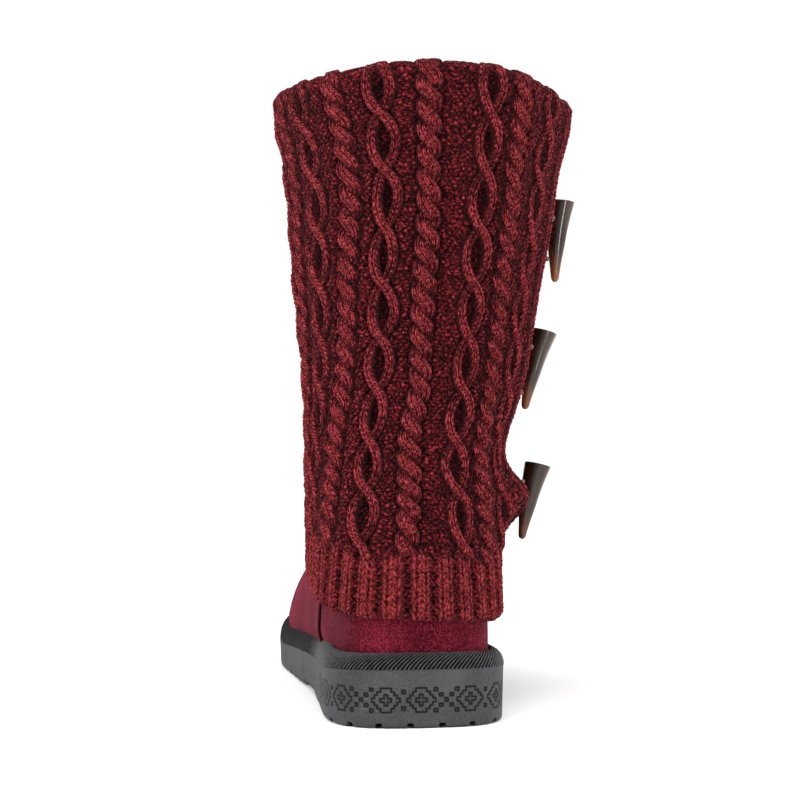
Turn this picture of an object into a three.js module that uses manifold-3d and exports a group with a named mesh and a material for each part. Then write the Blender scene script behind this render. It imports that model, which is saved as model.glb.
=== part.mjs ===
// Right-foot pull-on boot: suede foot on a wedge rubber sole, a cable-knit sleeve over the shaft,
// and horn toggles in cord loops on the outer side. Millimetres, +Z up, toe along -Y,
// inner (medial) side along +X, origin on the floor under the middle of the heel.
import * as THREE from "three";
import { mergeVertices } from "three/addons/utils/BufferGeometryUtils.js";
import Module from "manifold-3d";

const wasm = await Module();
wasm.setup();

// Driving dimensions
const soleLength = 278;
const heelWidth = 82;
const waistWidth = 80.5;
const ballWidth = 95;
const heelHeight = 25.5;
const ballThickness = 13.5;
const toeSpring = 8;
const archRise = 2.5;
const soleEdgeRadius = 1.4;
const soleDraft = 0.6;
const heelCentre = 40;

const notchPitch = 14.3;
const notchWidth = 3;
const notchDepth = 2;
const notchLength = 7;
const grooveWidth = 3;
const heelGrooves = 4;
const forefootGrooves = 5;

const randHeight = 9;
const heelRandHeight = 7;
const randDepth = 5.2;
const randSetback = 0.3;

const footWidth = 91;
const heelCupWidth = 66.2;
const toeHeight = 56;
const vampHeight = 76;
const instepHeight = 96;
const suedeWall = 2.4;
const counterStep = 1.1;
const seamAlong = 80;
const insoleThickness = 4;

const shaftHeight = 295;
const collarWidth = 139.5;
const collarSag = 10.7;
const collarDepth = 137;
const ankleWidth = 94;
const hemHeight = 47;
const hemRise = 50;
const hemTilt = 3;
const ribHeight = 28;
const knitWall = 3.4;
const cableRelief = 2.2;
const ribRelief = 1.7;
const liningWall = 2.2;
const lipWall = 2;
const lipDepth = 20;
const plyStep = 3;

const cableAngle = 18.3;
const chainPeriod = 24.4;
const backRopeAngle = 6.3;
const seamGapAngle = 26.2;
const placketAngle = 268;
const placketSpan = 46;

const toggleLength = 38;
const toggleAhead = 5;
const toggleTopRadius = 6.4;
const toggleTipRadius = 3.2;
const togglePull = 10;
const shankRadius = 1.2;
const shankSocket = 3;
const loopRadius = 1.1;
const loopHeight = 22;
const loopReach = 6;

const clearance = 0.3;

// Names of the sleeve's corners, counted along its wall
const around = 100;
const shaftRise = shaftHeight - hemHeight;
const soleStations = 40;

// Sole outline: share of the length from the heel, width there, and the medial share of that width
const soleTable = [
  { at: 0.0, width: heelWidth, medial: 0.51 },
  { at: 0.15, width: heelWidth, medial: 0.51 },
  { at: 0.3, width: waistWidth, medial: 0.494 },
  { at: 0.44, width: waistWidth * 1.012, medial: 0.489 },
  { at: 0.57, width: ballWidth * 0.936, medial: 0.466 },
  { at: 0.7, width: ballWidth, medial: 0.46 },
  { at: 0.8, width: ballWidth * 0.98, medial: 0.485 },
  { at: 1.0, width: ballWidth * 0.93, medial: 0.54 },
];

// The foot at half height: share of the length, width, and the medial share of that width
const footTable = [
  { at: 0.0, width: heelCupWidth, medial: 0.51 },
  { at: 0.15, width: heelCupWidth, medial: 0.51 },
  { at: 0.3, width: footWidth * 0.795, medial: 0.518 },
  { at: 0.44, width: footWidth * 0.84, medial: 0.513 },
  { at: 0.57, width: footWidth * 0.92, medial: 0.475 },
  { at: 0.7, width: footWidth, medial: 0.462 },
  { at: 0.8, width: footWidth * 0.98, medial: 0.475 },
  { at: 1.0, width: footWidth * 0.92, medial: 0.53 },
];

// Height of the top line of the foot, and how square its section is
const topTable = [
  { at: 0.0, top: instepHeight * 0.6, square: 0.42 },
  { at: 0.07, top: instepHeight * 0.8, square: 0.42 },
  { at: 0.18, top: instepHeight * 0.96, square: 0.45 },
  { at: 0.36, top: instepHeight * 1.04, square: 0.8 },
  { at: 0.46, top: instepHeight * 1.005, square: 0.94 },
  { at: 0.525, top: instepHeight * 0.97, square: 0.94 },
  { at: 0.6, top: instepHeight * 0.87, square: 0.9 },
  { at: 0.68, top: vampHeight, square: 0.86 },
  { at: 0.8, top: vampHeight * 0.86, square: 0.84 },
  { at: 0.9, top: toeHeight, square: 0.8 },
  { at: 1.0, top: toeHeight * 0.92, square: 0.78 },
];

// Rings of the knit's outer face, from hem to collar: share of the height between them at the back,
// rise of the front over the back as a share of hemRise, back, widest and front places as shares of
// collarDepth, width, and shift to the lateral side as a share of collarWidth
const sleeveTable = [
  { at: 0.0, rise: 1.0, back: -0.008, widest: 0.3, front: 1.12, width: ankleWidth * 0.933, shift: -0.0204 },
  { at: 0.12, rise: 0.8, back: -0.002, widest: 0.32, front: 1.03, width: ankleWidth * 0.938, shift: -0.0207 },
  { at: 0.245, rise: 0.58, back: 0.022, widest: 0.37, front: 0.925, width: ankleWidth * 0.96, shift: -0.0179 },
  { at: 0.31, rise: 0.48, back: 0.031, widest: 0.39, front: 0.885, width: ankleWidth * 0.97, shift: -0.0162 },
  { at: 0.4, rise: 0.36, back: 0.038, widest: 0.43, front: 0.86, width: ankleWidth * 1.055, shift: 0.0085 },
  { at: 0.49, rise: 0.26, back: 0.04, widest: 0.44, front: 0.845, width: ankleWidth * 1.127, shift: 0.0211 },
  { at: 0.6, rise: 0.15, back: 0.031, widest: 0.45, front: 0.858, width: collarWidth * 0.812, shift: 0.0282 },
  { at: 0.72, rise: 0.08, back: 0.015, widest: 0.455, front: 0.885, width: collarWidth * 0.866, shift: 0.04 },
  { at: 0.84, rise: 0.03, back: -0.006, widest: 0.46, front: 0.92, width: collarWidth * 0.91, shift: 0.045 },
  { at: 0.93, rise: 0.0, back: -0.022, widest: 0.465, front: 0.945, width: collarWidth * 0.973, shift: 0.05 },
  { at: 1.0, rise: 0.0, back: -0.036, widest: 0.47, front: 0.965, width: collarWidth, shift: 0.048 },
];

// Toggles from the top: share of the shaft's height, lean outwards in degrees, pull on the knit as
// a share of togglePull
const toggles = [
  { at: 0.749, lean: 5, pull: 0.22 },
  { at: 0.532, lean: 14, pull: 0.2 },
  { at: 0.33, lean: 14, pull: 1.25 },
];

const radians = THREE.MathUtils.degToRad;
const smooth = (x, low, high) => THREE.MathUtils.smoothstep(x, low, high);
const mix = THREE.MathUtils.lerp;

// A column of a table at a share, on a smooth curve through its rows
function lookup(table, share, column) {
  const at = THREE.MathUtils.clamp(share, table[0].at, table.at(-1).at);
  const i = Math.min(table.findIndex((row, k) => k > 0 && at <= row.at), table.length - 1) - 1;
  const slope = (k) => {
    const low = table[Math.max(k - 1, 0)];
    const high = table[Math.min(k + 1, table.length - 1)];
    return (high[column] - low[column]) / (high.at - low.at);
  };
  const span = table[i + 1].at - table[i].at;
  const s = (at - table[i].at) / span;
  return (
    table[i][column] * (1 + 2 * s) * (1 - s) ** 2 +
    slope(i) * span * s * (1 - s) ** 2 +
    table[i + 1][column] * s * s * (3 - 2 * s) -
    slope(i + 1) * span * s * s * (1 - s)
  );
}

// Rounds an outline off towards both of its ends, low and high
function roundEnds(along, low, high, heelRound, toeRound) {
  const round = (share, square) => (1 - THREE.MathUtils.clamp(share, 0, 1) ** square) ** (1 / square);
  return round((low + heelRound - along) / heelRound, 3) * round((along - high + toeRound) / toeRound, 2.2);
}

const heelRound = heelWidth * 0.5;
const toeRound = ballWidth * 0.78;
const place = (medial, along, up) => new THREE.Vector3(medial, heelCentre - along, up);

// Sole: heights
function soleFloor(along) {
  const share = along / soleLength;
  const arch = archRise * smooth(share, 0.3, 0.38) * (1 - smooth(share, 0.46, 0.54));
  const spring = toeSpring * THREE.MathUtils.clamp((share - 0.74) / 0.26, 0, 1) ** 2;
  return arch + spring;
}

function soleTop(along) {
  const share = along / soleLength;
  const spring = toeSpring * THREE.MathUtils.clamp((share - 0.72) / 0.28, 0, 1) ** 2;
  return mix(heelHeight, ballThickness, Math.min(share / 0.74, 1)) + spring;
}

function soleHalf(side, along) {
  const share = along / soleLength;
  const medial = lookup(soleTable, share, "medial");
  const half = lookup(soleTable, share, "width") * (side > 0 ? medial : 1 - medial);
  return half * roundEnds(along, 0, soleLength, heelRound, toeRound);
}

// A point of the sole's outline at a turn from 0 to 1, medial side first, moved inwards by inset
function outlinePoint(turn, inset = 0) {
  const at = (t) => {
    const angle = 2 * Math.PI * t;
    const along = (soleLength * (1 - Math.cos(angle))) / 2;
    const side = Math.sin(angle) >= 0 ? 1 : -1;
    return new THREE.Vector2(side * soleHalf(side, along), along);
  };
  const step = 1e-3;
  const tangent = at(turn + step).sub(at(turn - step)).normalize();
  return at(turn).add(new THREE.Vector2(-tangent.y, tangent.x).multiplyScalar(inset));
}

function manifoldOf(geometry, triangles) {
  return new wasm.Manifold(
    new wasm.Mesh({
      numProp: 3,
      vertProperties: geometry.attributes.position.array,
      triVerts: new Uint32Array(triangles),
    }),
  );
}

// A closed solid, its faces turned outwards whichever way its rings run
function solidFrom(points, triangles) {
  const geometry = new THREE.BufferGeometry();
  geometry.setAttribute(
    "position",
    new THREE.Float32BufferAttribute(points.flatMap((p) => [p.x, p.y, p.z]), 3),
  );
  geometry.setIndex(triangles.flat());
  const merged = mergeVertices(geometry, 1e-3);
  const index = merged.index.array;
  const kept = [];
  for (let i = 0; i < index.length; i += 3) {
    const [a, b, c] = index.subarray(i, i + 3);
    if (a !== b && b !== c && a !== c) kept.push(a, b, c);
  }
  const solid = manifoldOf(merged, kept);
  return solid.volume() > 0 ? solid : manifoldOf(merged, kept.reverse());
}

// Rows of points, each a closed ring, joined to the next; the last row joins the first where wrap
// is true, and otherwise the first and last rows are closed by strips across them
function loft(rows, wrap = false) {
  const count = rows[0].length;
  const triangles = [];
  const quad = (a, b, c, d) => triangles.push([a, b, c], [a, c, d]);
  const last = wrap ? rows.length : rows.length - 1;
  for (let r = 0; r < last; r++) {
    const low = r * count;
    const high = ((r + 1) % rows.length) * count;
    for (let i = 0; i < count; i++) {
      const j = (i + 1) % count;
      quad(low + i, low + j, high + j, high + i);
    }
  }
  if (!wrap) {
    const top = (rows.length - 1) * count;
    for (let i = 0; i < count / 2; i++) {
      const [a, b, c, d] = [i, i + 1, count - i - 1, (count - i) % count];
      quad(d, c, b, a);
      quad(top + a, top + b, top + c, top + d);
    }
  }
  return solidFrom(rows.flat(), triangles);
}

function geometryOf(solid) {
  const mesh = solid.getMesh();
  const geometry = new THREE.BufferGeometry();
  geometry.setAttribute("position", new THREE.BufferAttribute(mesh.vertProperties, 3));
  geometry.setIndex(new THREE.BufferAttribute(mesh.triVerts, 1));
  geometry.computeVertexNormals();
  return geometry;
}

function solidOf(geometry, matrix = new THREE.Matrix4()) {
  const plain = geometry.clone().applyMatrix4(matrix);
  plain.deleteAttribute("normal");
  plain.deleteAttribute("uv");
  const merged = mergeVertices(plain, 1e-4);
  return manifoldOf(merged, merged.index.array);
}

const boot = new THREE.Group();

function add(name, solid, material) {
  const mesh = new THREE.Mesh(geometryOf(solid), material);
  mesh.name = name;
  boot.add(mesh);
}

const finish = (color, roughness) => new THREE.MeshStandardMaterial({ color, roughness, metalness: 0 });
const darkRubber = finish("#4a494b", 0.75);
const blackBinding = finish("#1f2021", 0.85);
const suede = finish("#651b33", 0.95);
const footbed = finish("#8d7a68", 0.9);
const knit = finish("#6d232b", 1);
const horn = finish("#3d2a25", 0.25);
const cord = finish("#8c3a55", 0.8);

// Outsole
function outsole() {
  const turns = Array.from({ length: 2 * soleStations }, (_, i) => i / (2 * soleStations));
  const ring = (inset, height) =>
    turns.map((turn) => {
      const p = outlinePoint(turn, inset);
      return place(p.x, p.y, height(p.y));
    });
  let body = loft([
    ring(soleDraft + soleEdgeRadius, soleFloor),
    ring(soleDraft + soleEdgeRadius * 0.2, (v) => soleFloor(v) + soleEdgeRadius),
    ring(0, (v) => soleTop(v)),
  ]);
  const cuts = [...edgeNotches(), ...treadGrooves()];
  return body.subtract(wasm.Manifold.union(cuts));
}

function cutter(width, length, at, direction) {
  const sunk = 4;
  const box = new THREE.BoxGeometry(width, length, sunk);
  const matrix = new THREE.Matrix4().makeRotationZ(Math.atan2(-direction.x, direction.y));
  matrix.setPosition(place(at.x, at.y, soleFloor(at.y) + notchDepth - sunk / 2));
  return solidOf(box, matrix);
}

function edgeNotches() {
  const samples = 400;
  const turns = Array.from({ length: samples + 1 }, (_, i) => i / samples);
  const points = turns.map((turn) => outlinePoint(turn));
  const walked = [0];
  points.slice(1).forEach((p, i) => walked.push(walked[i] + p.distanceTo(points[i])));
  const count = Math.round(walked.at(-1) / notchPitch);
  return Array.from({ length: count }, (_, k) => {
    const target = ((k + 0.5) / count) * walked.at(-1);
    const turn = turns[walked.findIndex((w) => w >= target)];
    const inner = outlinePoint(turn, notchLength / 2 + 0.5);
    const outer = outlinePoint(turn);
    const direction = new THREE.Vector2(outer.x - inner.x, inner.y - outer.y);
    return cutter(notchWidth, notchLength + 3, inner, direction);
  });
}

function treadGrooves() {
  const rim = 0.72;
  const across = (along) => {
    const [medial, lateral] = [soleHalf(1, along) * rim, soleHalf(-1, along) * rim];
    const at = new THREE.Vector2((medial - lateral) / 2, along);
    return cutter(grooveWidth, medial + lateral, at, new THREE.Vector2(1, 0));
  };
  const spread = (count, low, high) =>
    Array.from({ length: count }, (_, k) => across(soleLength * mix(low, high, k / (count - 1))));
  return [...spread(heelGrooves, 0.07, 0.218), ...spread(forefootGrooves, 0.58, 0.84)];
}

// Rand: the ribbed band that covers the join of sole and upper
const randTable = [
  { inset: 0, up: 0 },
  { inset: 0.04, up: 0.38 },
  { inset: 0.3, up: 0.74 },
  { inset: 0.65, up: 0.94 },
  { inset: 1, up: 1 },
  { inset: 1, up: 0 },
];

const randRise = (along) => mix(heelRandHeight, randHeight, smooth(along / soleLength, 0.02, 0.3));

function rand() {
  const turns = Array.from({ length: 60 }, (_, i) => i / 60);
  const rows = randTable.map((row) =>
    turns.map((turn) => {
      const p = outlinePoint(turn, randSetback + row.inset * randDepth);
      return place(p.x, p.y, soleTop(p.y) + clearance + row.up * randRise(p.y));
    }),
  );
  return loft(rows, true).subtract(footForm(-3 * clearance, 1));
}

// Foot of the upper: vertical arches from the heel to the toe, moved inwards by inset
const featherInset = randSetback + randDepth + clearance;

const toeSetback = 1.5;
const footEnds = (inset) => [featherInset + inset, soleLength - featherInset - toeSetback - inset];

function footPoint(along, turn, inset, sunk) {
  const share = along / soleLength;
  const angle = Math.PI * (turn - 0.1 * Math.sin(2 * Math.PI * turn));
  const side = Math.cos(angle) >= 0 ? 1 : -1;
  const square = lookup(topTable, share, "square");
  const base = soleTop(along) + clearance;
  const toeFall = THREE.MathUtils.clamp((share - 0.87) / 0.105, 0, 1);
  const top = mix(base, lookup(topTable, share, "top") - inset, (1 - toeFall ** 2.5) ** (1 / 2.5));
  const up = Math.sin(angle) ** (square + 0.12);
  const height = mix(base - sunk, top, up);
  const ends = roundEnds(along, ...footEnds(inset), heelRound - featherInset, toeRound);
  const medial = lookup(footTable, share, "medial");
  const body = (lookup(footTable, share, "width") * (side > 0 ? medial : 1 - medial) + counterGrowth(along)) * ends;
  const feather = Math.min(body, soleHalf(side, along) - featherInset * Math.min(ends * 1.5, 1));
  const bulge = smooth(height - base, 0, 1.6 * randRise(along));
  const half = mix(feather, body, bulge) - inset * Math.min(ends * 3, 1);
  return place(side * Math.max(half, 0) * Math.abs(Math.cos(angle)) ** square, along, height);
}

const counterGrowth = (along) => counterStep * (along < seamAlong ? 1 : 0);

function footForm(inset, sunk) {
  const [low, high] = footEnds(inset);
  const stations = Array.from({ length: 23 }, (_, i) => mix(low, high, (1 - Math.cos((Math.PI * i) / 22)) / 2));
  const seam = stations.findIndex((v) => v > seamAlong);
  stations.splice(seam, 0, seamAlong - 0.4, seamAlong + 0.4);
  const rows = stations.map((along) =>
    Array.from({ length: 18 }, (_, i) => footPoint(along, i / 17, inset, sunk)),
  );
  return loft(rows);
}

// Sleeve rings. Angle 0 is the back, 90 degrees the medial side; height is a share from hem to collar
function ringPoint(height, angle, inset) {
  const row = (column) => lookup(sleeveTable, height, column);
  const cos = Math.cos(angle);
  const sin = Math.sin(angle);
  const widest = row("widest") * collarDepth;
  const end = (cos > 0 ? row("back") : row("front")) * collarDepth;
  const reach = Math.abs(widest - end) - inset;
  const bend = cos > 0 ? mix(0.74, 0.92, smooth(height, 0, 0.35)) : mix(0.78, 0.9, smooth(height, 0, 0.4));
  const along = widest - Math.sign(cos) * reach * Math.abs(cos) ** bend;
  const half = row("width") / 2 - inset;
  const across = half * Math.sign(sin) * Math.abs(sin) ** bend - row("shift") * collarWidth;
  const forward = row("rise") * hemRise * ((1 - cos) / 2) ** 3.3;
  const tilt = hemTilt * sin * smooth(cos, -0.9, 0.2) * (1 - smooth(height, 0, 0.5));
  const sag = collarSag * (1 - 0.25 * sin) * sin * sin * Math.max(2 * height - 1, 0) ** 2;
  return place(across, along, mix(hemHeight, shaftHeight, height) + forward + tilt - sag);
}

const heightShare = (toggle) => (toggle.at * shaftHeight - hemHeight) / shaftRise;

// How far the toggles pull the knit out at a place
function pullOut(height, angle) {
  const turn = THREE.MathUtils.euclideanModulo(angle, 2 * Math.PI);
  const side = (turn - radians(placketAngle)) / radians(17);
  return toggles.reduce((sum, toggle) => {
    const away = ((height - heightShare(toggle)) * shaftRise) / (0.3 * toggleLength);
    return sum + togglePull * toggle.pull * Math.exp(-(away ** 2) - side ** 2);
  }, 0);
}

// Shaft of the upper, under the knit: a lining tube that grows out of the foot
const liningInset = cableRelief + knitWall + clearance;
const lipInset = liningInset + liningWall + clearance;
const foldRadius = (lipInset + lipWall) / 2;
const foldShare = 1 - foldRadius / shaftRise;
const lipShare = foldShare - lipDepth / shaftRise;
const collarShare = 1 - (liningInset + 2 * clearance) / shaftRise;
const shaftShares = [0.12, 0.32, 0.6, lipShare];
const seamAngle = backRopeAngle - seamGapAngle / 2;
const evenAngle = (i) => seamAngle + (360 * i) / around;
const pairAngle = (i) => evenAngle(2 * Math.floor(i / 2));

function shaftForm(inset, heights) {
  const count = around / 2;
  const rows = [...heights].reverse().map((height) => {
    const tuck = 4 * (1 - smooth(height, 0, 0.12));
    return Array.from({ length: count }, (_, i) =>
      ringPoint(height, radians(evenAngle(2 * i)), liningInset + inset + tuck),
    );
  });
  return loft(rows);
}

function upper() {
  const heights = [0.02, ...shaftShares, collarShare];
  const outer = footForm(0, 0).add(shaftForm(0, heights));
  const inner = footForm(suedeWall, 12).add(shaftForm(liningWall, [...heights, 1.05]));
  return outer.subtract(inner);
}

function insole() {
  const turns = Array.from({ length: 40 }, (_, i) => i / 40);
  const inset = featherInset + suedeWall + 2;
  const ring = (lift) =>
    turns.map((turn) => {
      const p = outlinePoint(turn, inset);
      return place(p.x, p.y, soleTop(p.y) + lift);
    });
  const slab = loft([ring(clearance), ring(clearance + insoleThickness)]);
  return slab.intersect(footForm(suedeWall + 3 * clearance, insoleThickness));
}

// Knit pattern: cable columns by angle, a rope and a chain by turns
const backCables = Array.from({ length: 13 }, (_, k) => ({
  at: backRopeAngle + k * cableAngle,
  chain: k % 2 === 1,
}));
const sideCables = [0, 1, 2].map((k) => ({
  at: backRopeAngle - seamGapAngle - k * cableAngle * 1.05,
  chain: k % 2 === 0,
}));
const cables = [...backCables, ...sideCables];
const cableColumns = [-7, -4.1, 0, 4.1, 7];
const chainHalf = 4.1;

// The angle of each column of the sleeve's mesh, from the seam round to the seam
function columnAngles() {
  const seam = seamAngle;
  const fromCables = cables.flatMap((cable) =>
    cableColumns.map((offset) => cable.at + (offset * cableAngle) / 18.3),
  );
  const placketCount = around - fromCables.length - 2;
  const placket = Array.from(
    { length: placketCount },
    (_, i) => placketAngle + placketSpan * ((i + 0.5) / placketCount - 0.5),
  );
  const seamGap = [seam, seam + cableAngle * 0.16];
  const all = [...fromCables, ...placket, ...seamGap].map((a) => (a < seam ? a + 360 : a));
  return all.sort((a, b) => a - b);
}

const angles = columnAngles();

// How far the knit stands out over its ground at a column, a height share and a course
function relief(column, course) {
  const angle = angles[column] % 360;
  const away = (cable) => ((angle - cable.at + 540) % 360) - 180;
  const cable = cables.find((c) => Math.abs(away(c)) < cableAngle / 2);
  const onTop = angle > placketAngle && angle < placketAngle + placketSpan / 2;
  if (Math.abs(angle - placketAngle) < placketSpan / 2)
    return (onTop ? plyStep : 0) + (column % 2) * ribRelief * 0.5;
  if (!cable) return 0;
  const offset = Math.abs(away(cable));
  if (!cable.chain) return cableRelief * (offset < 5 ? 1 - 0.1 * offset : 0);
  const open = course % 2;
  const crest = open ? chainHalf : 0;
  return cableRelief * Math.max(0, 1 - Math.abs(offset - crest) / 4.6);
}

// Knit sleeve: each row runs round the boot, and the rows run up the outside, over the fold at the
// collar, round the lip that holds the lining's edge, and down the inside
function sleeve() {
  const inner = liningInset - clearance;
  const slotLift = 2 * clearance;
  const ribShare = ribHeight / shaftRise;
  const step = chainPeriod / 2 / shaftRise;
  const courses = Math.floor((foldShare - ribShare) / step);
  const row = (height, angleOf, insetOf, lift = 0) =>
    Array.from({ length: around }, (_, i) => {
      const p = ringPoint(height, radians(angleOf(i)), insetOf(i));
      p.z += lift;
      return p;
    });
  const plain = (height, inset, lift) => row(height, pairAngle, () => inset, lift);
  const rib = (i) => (Math.floor(i / 2) % 2 ? cableRelief : cableRelief - ribRelief);
  const face = (height, course) => (i) =>
    cableRelief - relief(i, course) - pullOut(height, radians(angles[i]));
  const rows = [
    row(0, evenAngle, (i) => rib(i) + 1),
    row(0.012, evenAngle, rib),
    row(ribShare * 0.85, evenAngle, rib),
  ];
  for (let k = 0; k <= courses; k++) {
    const height = foldShare - (courses - k) * step;
    rows.push(row(height, (i) => angles[i], face(height, k)));
  }
  [60, 120].map(radians).forEach((turn) => {
    const fade = Math.cos(turn / 2) ** 2;
    const insetOf = (i) => foldRadius * (1 - Math.cos(turn)) + face(1, courses)(i) * fade;
    rows.push(row(foldShare, (i) => angles[i], insetOf, foldRadius * Math.sin(turn)));
  });
  rows.push(plain(foldShare, lipInset + lipWall));
  rows.push(plain(lipShare, lipInset + lipWall));
  rows.push(plain(lipShare, lipInset));
  rows.push(plain(collarShare, lipInset, slotLift));
  rows.push(plain(collarShare, inner, slotLift));
  [...shaftShares].reverse().forEach((height) => rows.push(plain(height, inner)));
  rows.push(plain(0, inner));
  return loft(rows, true);
}

// A place on the placket by a toggle: towards the rear, up and out from the knit's ground
function placketPoint(toggle, rear, up, out) {
  const height = heightShare(toggle) + up / shaftRise;
  const seat = radians(placketAngle - toggleAhead);
  const span = 0.1;
  const reach = ringPoint(height, seat, 0).distanceTo(ringPoint(height, seat + span, 0)) / span;
  const angle = seat + rear / reach;
  return ringPoint(height, angle, cableRelief - pullOut(height, angle) - out);
}

// The frame of a toggle's seat: X to the rear, Y outwards
function placketFrame(toggle) {
  const seat = placketPoint(toggle, 0, 0, 0);
  const rearward = placketPoint(toggle, 1, 0, 0).sub(seat).setZ(0).normalize();
  const up = new THREE.Vector3(0, 0, 1);
  const outward = new THREE.Vector3().crossVectors(up, rearward);
  return new THREE.Matrix4().makeBasis(rearward, outward, up).setPosition(seat);
}

const toggleMidRadius = mix(toggleTipRadius, toggleTopRadius, 0.55);
const toggleStandOff = ribRelief / 2 + 2 * loopRadius + toggleMidRadius + 6 * clearance;

function toggleFrame(toggle) {
  const out = new THREE.Matrix4().makeTranslation(0, toggleStandOff, 0);
  const lean = new THREE.Matrix4().makeRotationX(-radians(toggle.lean));
  return placketFrame(toggle).multiply(out).multiply(lean);
}

function toggleHorn(toggle) {
  const half = toggleLength / 2;
  const bevel = 0.9;
  const profile = [
    new THREE.Vector2(0, -half),
    new THREE.Vector2(toggleTipRadius * 0.6, -half + toggleTipRadius * 0.25),
    new THREE.Vector2(toggleTipRadius, -half + toggleTipRadius * 1.2),
    new THREE.Vector2(toggleMidRadius, 0),
    new THREE.Vector2(toggleTopRadius, half - bevel),
    new THREE.Vector2(toggleTopRadius - bevel, half),
    new THREE.Vector2(0, half),
  ];
  const upright = new THREE.Matrix4().makeRotationX(Math.PI / 2);
  const bore = shankRadius + clearance;
  const socket = new THREE.CylinderGeometry(bore, bore, shankSocket * 2, 10);
  const inward = new THREE.Matrix4().makeTranslation(0, -toggleMidRadius, 0);
  const turned = solidOf(new THREE.LatheGeometry(profile, 12), upright);
  return turned.subtract(solidOf(socket, inward)).transform(toggleFrame(toggle).elements);
}

function toggleShank(toggle) {
  const high = -toggleMidRadius + shankSocket - clearance;
  const low = -(toggleStandOff - ribRelief / 2 - clearance) / Math.cos(radians(toggle.lean));
  const peg = new THREE.CylinderGeometry(shankRadius, shankRadius, high - low, 10);
  const middle = new THREE.Matrix4().makeTranslation(0, (low + high) / 2, 0);
  return solidOf(peg, toggleFrame(toggle).multiply(middle));
}

// Cord loops: sewn on the overlapping edge of the placket, round the shank under the toggle
function toggleLoop(toggle) {
  const flap = plyStep + loopRadius + 3 * clearance;
  const under = ribRelief / 2 + loopRadius + clearance;
  const ahead = shankRadius + loopRadius + 5 * clearance;
  const points = [
    [loopReach + 6, 0.5, flap],
    [loopReach + 2.5, 0.48, flap + 0.3],
    [loopReach - 0.5, 0.4, flap - 0.7],
    [0.5, 0.24, under],
    [-ahead, 0.08, under],
    [-ahead, -0.08, under],
    [0.5, -0.24, under],
    [loopReach - 0.5, -0.4, flap - 0.7],
    [loopReach + 2.5, -0.48, flap + 0.3],
    [loopReach + 6, -0.5, flap],
  ].map(([rear, up, out]) => placketPoint(toggle, rear, up * loopHeight, out));
  const circle = new THREE.Shape(
    Array.from({ length: 6 }, (_, i) => {
      const angle = (2 * Math.PI * i) / 6;
      return new THREE.Vector2(loopRadius * Math.cos(angle), loopRadius * Math.sin(angle));
    }),
  );
  const path = new THREE.CatmullRomCurve3(points);
  const swept = new THREE.ExtrudeGeometry(circle, { steps: 14, extrudePath: path, bevelEnabled: false });
  return solidOf(swept);
}

add("outsole", outsole(), darkRubber);
add("rand", rand(), blackBinding);
add("upper", upper(), suede);
add("insole", insole(), footbed);
add("knit_sleeve", sleeve(), knit);
toggles.forEach((toggle, k) => {
  add(`toggle_${k + 1}`, toggleHorn(toggle), horn);
  add(`toggle_shank_${k + 1}`, toggleShank(toggle), cord);
  add(`toggle_loop_${k + 1}`, toggleLoop(toggle), cord);
});

export default boot;
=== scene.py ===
"""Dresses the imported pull-on boot: knit sleeve, suede foot, ribbed rand, wedge sole and horn toggles.

Lengths are millimetres in the boot's own frame, toe along -Y and inner side along +X, until a mesh is
made, which is in metres.
"""
from __future__ import annotations

import logging
import math
from dataclasses import dataclass, field
from enum import Enum
from typing import Callable, Sequence

import bpy
import numpy as np
from mathutils import Matrix, Vector


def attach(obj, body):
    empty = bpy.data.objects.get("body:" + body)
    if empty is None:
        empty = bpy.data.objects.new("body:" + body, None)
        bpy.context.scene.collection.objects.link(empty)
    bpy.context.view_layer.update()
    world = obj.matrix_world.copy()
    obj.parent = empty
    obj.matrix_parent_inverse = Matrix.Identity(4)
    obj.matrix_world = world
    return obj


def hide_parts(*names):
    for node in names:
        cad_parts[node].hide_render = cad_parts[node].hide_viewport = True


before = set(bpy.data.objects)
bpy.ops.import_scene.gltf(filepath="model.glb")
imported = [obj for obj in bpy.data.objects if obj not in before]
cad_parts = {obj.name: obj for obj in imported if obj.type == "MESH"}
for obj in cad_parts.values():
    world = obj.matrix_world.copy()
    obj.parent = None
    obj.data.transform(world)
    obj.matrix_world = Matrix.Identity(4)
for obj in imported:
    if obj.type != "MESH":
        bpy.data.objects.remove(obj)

log = logging.getLogger("boot")
MM = 0.001
HEEL_BACK = 40.0
FOOT_CORE = 28.0
LATTICE = 257
Array = np.ndarray
Color = tuple[float, float, float]
Socket = bpy.types.NodeSocket


def smooth(x: Array | float, low: float, high: float) -> Array:
    """A soft step from 0 at low to 1 at high."""
    t = np.clip((np.asarray(x, float) - low) / (high - low), 0, 1)
    return t * t * (3 - 2 * t)


def mix(a: Array | float, b: Array | float, t: Array | float) -> Array:
    """The value between a and b at share t."""
    return a + (b - a) * t


def curve(table: Array, column: int, at: Array) -> Array:
    """Reads one column of a table on a smooth curve through its rows.

    Args:
        table: rows that start with the place they hold for.
        column: the column to read.
        at: places to read it at.
    Returns:
        The values there.
    """
    place, value = table[:, 0], table[:, column]
    rows = np.arange(len(place))
    low, high = np.maximum(rows - 1, 0), np.minimum(rows + 1, len(place) - 1)
    slope = (value[high] - value[low]) / (place[high] - place[low])
    at = np.clip(at, place[0], place[-1])
    i = np.clip(np.searchsorted(place, at, "right") - 1, 0, len(place) - 2)
    span = place[i + 1] - place[i]
    s = (at - place[i]) / span
    start = value[i] * (1 + 2 * s) * (1 - s) ** 2 + slope[i] * span * s * (1 - s) ** 2
    return start + value[i + 1] * s * s * (3 - 2 * s) - slope[i + 1] * span * s * s * (1 - s)


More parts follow.
